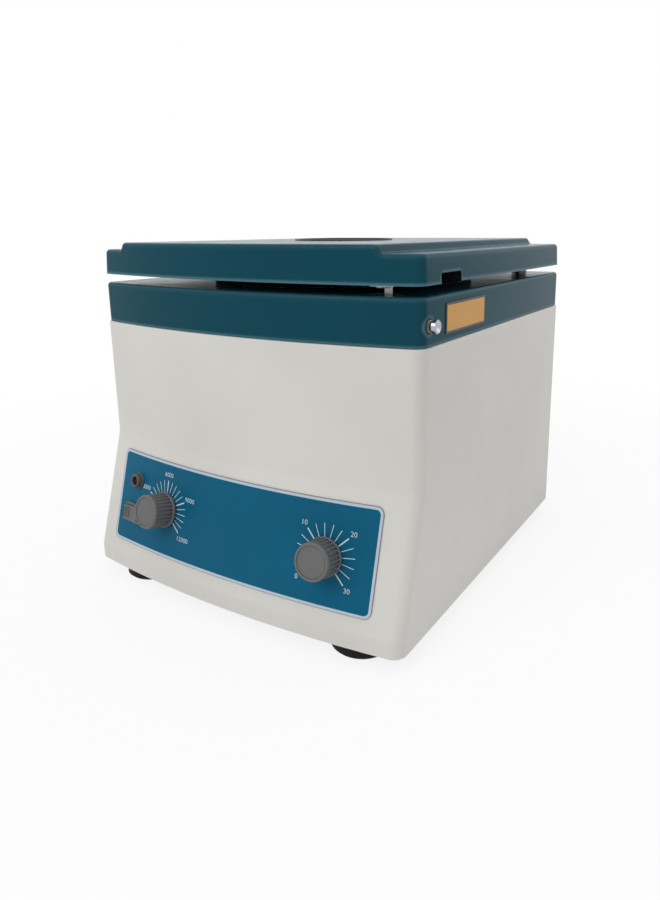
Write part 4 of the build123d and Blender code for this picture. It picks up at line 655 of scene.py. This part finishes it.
def make_latch_spring(material):
    """A coil along the latch rod, against its bracket; the real spring shortens as the knob goes in, but this coil
    is fixed to the chassis.
    """
    low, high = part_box("latch_spring")
    middle = (low + high) / 2
    wire = SPRING_WIRE * MM / 2
    start = Vector((low.x + wire, middle.y, middle.z))
    mesh = coil_mesh(start, high.x - low.x - 2 * wire, (high.z - low.z) / 2 - wire, wire)
    mesh.materials.clear()
    mesh.materials.append(material)
    for polygon in mesh.polygons:
        polygon.use_smooth = True
    piece = added("latch_spring_coil", mesh)
    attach(piece, "chassis")
    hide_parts("latch_spring")
    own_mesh(piece)


# Printing on curved faces

class Face:
    """A flat drawing board laid over a node: drawn points are dropped onto the node's surface."""

    def __init__(self, node, centre, normal, upward):
        source = frame["nodes"][node].data
        points = [vertex.co.copy() for vertex in source.vertices]
        polygons = [tuple(polygon.vertices) for polygon in source.polygons]
        self.tree = BVHTree.FromPolygons(points, polygons)
        self.centre = Vector(centre)
        self.normal = Vector(normal).normalized()
        self.right = Vector(upward).cross(self.normal).normalized()
        self.up = self.normal.cross(self.right)

    def drop(self, x, y, lift):
        """The place on the node under the drawn point, raised by lift; all in millimetres."""
        flat = self.centre + (self.right * x + self.up * y) * MM
        hit = self.tree.ray_cast(flat + self.normal * DROP_HEIGHT * MM, -self.normal)[0]
        return (hit or flat) + self.normal * lift * MM


def outer_edges(polygons):
    """The edges that only one polygon has, in the order in which they come."""
    edges = {}
    for polygon in polygons:
        for start, end in zip(polygon, polygon[1:] + polygon[:1]):
            if (end, start) in edges:
                del edges[(end, start)]
            else:
                edges[(start, end)] = True
    return list(edges)


def printed(name, face, outlines, material, body):
    """Thin ink on a face from flat meshes given as (points, polygons) in millimetres."""
    shape = bmesh.new()
    for points, polygons in outlines:
        low = [shape.verts.new(face.drop(x, y, INK_LIFT)) for x, y in points]
        high = [shape.verts.new(face.drop(x, y, INK_LIFT + INK_THICKNESS)) for x, y in points]
        for polygon in polygons:
            shape.faces.new([high[i] for i in polygon])
            shape.faces.new([low[i] for i in reversed(polygon)])
        for start, end in outer_edges(polygons):
            shape.faces.new((low[start], low[end], high[end], high[start]))
    mesh = bpy.data.meshes.new(name)
    shape.to_mesh(mesh)
    shape.free()
    mesh.materials.append(material)
    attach(added(name, mesh), body)


def heading(angle):
    """The direction on a drawing board at an angle in degrees from the right."""
    return Vector((cos(radians(angle)), sin(radians(angle))))


def stroke(start, end, width):
    """A straight line as a row of squares, so that it can follow a curved face."""
    direction = (end - start).normalized()
    side = Vector((-direction.y, direction.x)) * width / 2
    points = []
    for i in range(STROKE_STEPS + 1):
        spot = start.lerp(end, i / STROKE_STEPS)
        points += [tuple(spot - side), tuple(spot + side)]
    polygons = [[2 * i, 2 * i + 2, 2 * i + 3, 2 * i + 1] for i in range(STROKE_STEPS)]
    return points, polygons


def lettering(text, height, place, turn=0.0):
    """A number's outline as (points, polygons), drawn about a place and turned by degrees."""
    curve = bpy.data.curves.new("number", "FONT")
    curve.body = text
    curve.size = height * FONT_SIZE_FOR_HEIGHT
    curve.align_x = "CENTER"
    curve.align_y = "CENTER"
    curve.resolution_u = 3
    curve.offset = NUMBER_THINNING
    holder = added("number", curve)
    flat = bpy.data.meshes.new_from_object(holder)
    spin = Matrix.Rotation(radians(turn), 2)
    points = [tuple(spin @ vertex.co.xy + place) for vertex in flat.vertices]
    polygons = [list(polygon.vertices) for polygon in flat.polygons]
    bpy.data.objects.remove(holder)
    bpy.data.curves.remove(curve)
    bpy.data.meshes.remove(flat)
    return points, polygons


def print_dial(name, ink, joint, first, step, numbers):
    """Ticks round a knob, one bold at each number, from the first angle in clockwise steps."""
    knob = frame_joint(joint)
    face = Face("control_panel", knob["pos_m"], -Vector(knob["axis"]), (0, 0, 1))
    ticks = []
    for i in range(TICKS_TO_NUMBER * (len(numbers) - 1) + 1):
        direction = heading(first - i * step)
        width = FINE_LINE if i % TICKS_TO_NUMBER else BOLD_LINE
        ticks.append(stroke(direction * TICK_START, direction * TICK_END, width))
    printed(name + "_ticks", face, ticks, ink, "chassis")
    texts = []
    for i, text in enumerate(numbers):
        direction = heading(first - i * TICKS_TO_NUMBER * step)
        extra_digits = max(0, len(text) - USUAL_DIGITS)
        reach = NUMBER_REACH + extra_digits * EXTRA_DIGIT_REACH * abs(direction.x)
        texts.append(lettering(text, NUMBER_HEIGHT, direction * reach))
    printed(name + "_numbers", face, texts, ink, "chassis")


def number_rotor(ink):
    """Place numbers between the tube slots, with their tops outwards."""
    face = Face("rotor", frame_joint("rotor_spin")["pos_m"], (0, 0, 1), (0, 1, 0))
    numbers = []
    for i in range(ROTOR_PLACES):
        angle = 90.0 - (i + 0.5) * 360 / ROTOR_PLACES
        place = heading(angle) * ROTOR_NUMBER_REACH
        numbers.append(lettering(str(i + 1), ROTOR_NUMBER_HEIGHT, place, angle - 90))
    printed("rotor_numbers", face, numbers, ink, "rotor")


# Stage, light and camera

def floor_material():
    """Matt white that also glows where it is seen, so that it runs into the white surroundings."""
    tree = Tree("floor_white")
    tree.finish(FLOOR_WHITE, 0.9, Specular_IOR_Level=0.0)
    spot = tree.split()
    glow = tree.remap(tree.hypotenuse(spot[0], spot[1]), GLOW_START, GLOW_FULL, GLOW_SHARE, 1.0)
    white = tree.node("ShaderNodeEmission")
    white.inputs["Strength"].default_value = 1.0
    blend = tree.node("ShaderNodeMixShader")
    tree.plug(blend.inputs[0], tree.math("MULTIPLY", seen_directly(tree.material.node_tree), glow))
    tree.plug(blend.inputs[1], tree.shader.outputs[0])
    tree.plug(blend.inputs[2], white.outputs[0])
    tree.plug(tree.output.inputs["Surface"], blend.outputs[0])
    return tree.material


def make_floor():
    half = FLOOR_SIZE / 2
    corners = [(-half, -half, 0), (half, -half, 0), (half, half, 0), (-half, half, 0)]
    mesh = bpy.data.meshes.new("floor")
    mesh.from_pydata(corners, [], [(0, 1, 2, 3)])
    mesh.materials.append(floor_material())
    floor = added("floor", mesh)
    floor.location.z = CAD_BOX[0].z


def make_world():
    """Even white surroundings: pure white where seen, and dimmer as light."""
    world = bpy.data.worlds.new("studio")
    bpy.context.scene.world = world
    world.use_nodes = True
    node_tree = world.node_tree
    sky = node_tree.nodes["Background"]
    sky.inputs["Color"].default_value = (1, 1, 1, 1)
    strength = node_tree.nodes.new("ShaderNodeMapRange")
    strength.inputs["To Min"].default_value = SURROUND_LEVEL
    strength.inputs["To Max"].default_value = 1.0
    node_tree.links.new(seen_directly(node_tree), strength.inputs["Value"])
    node_tree.links.new(strength.outputs[0], sky.inputs["Strength"])


def add_lamp(name, place, size, watts):
    """A rectangular lamp that faces the middle of the object."""
    light = bpy.data.lights.new(name, "AREA")
    light.shape = "RECTANGLE"
    light.size, light.size_y = size
    light.energy = watts
    lamp = added(name, light)
    lamp.location = place
    lamp.rotation_euler = (Vector(place) - Vector(LAMP_TARGET)).to_track_quat("Z", "Y").to_euler()


def make_camera():
    camera = bpy.data.cameras.new("camera")
    camera.sensor_width = SENSOR
    camera.sensor_fit = "AUTO"
    long_side = max(IMAGE_WIDTH, IMAGE_HEIGHT)
    camera.lens = SENSOR * FOCAL_PIXELS / long_side
    camera.shift_x = (IMAGE_WIDTH / 2 - CENTRE_X) / long_side
    camera.shift_y = (CENTRE_Y - IMAGE_HEIGHT / 2) / long_side
    camera.clip_start = 0.01
    holder = added("camera", camera)
    turn = Matrix.Rotation(CAMERA_TURN, 4, "Z") @ Matrix.Rotation(CAMERA_PITCH, 4, "X")
    turn = turn @ Matrix.Rotation(CAMERA_ROLL, 4, "Y") @ Matrix.Rotation(pi / 2, 4, "X")
    holder.matrix_world = Matrix.Translation(CAMERA_AT) @ turn
    bpy.context.scene.camera = holder


def main():
    materials = make_materials()
    dress_nodes(materials)
    white_ink = moulded("ink_white", INK_WHITE, rough=0.45, grain=1500.0, depth=0.004)
    dark_ink = moulded("ink_dark", INK_DARK, rough=0.5, grain=1500.0, depth=0.004)
    for name, dial in DIALS.items():
        print_dial(name, white_ink, **dial)
    number_rotor(dark_ink)
    make_latch_spring(materials["steel"])
    make_floor()
    make_world()
    for name, lamp in LAMPS.items():
        add_lamp(name, **lamp)
    make_camera()
    bpy.context.scene.view_settings.view_transform = "Standard"


main()
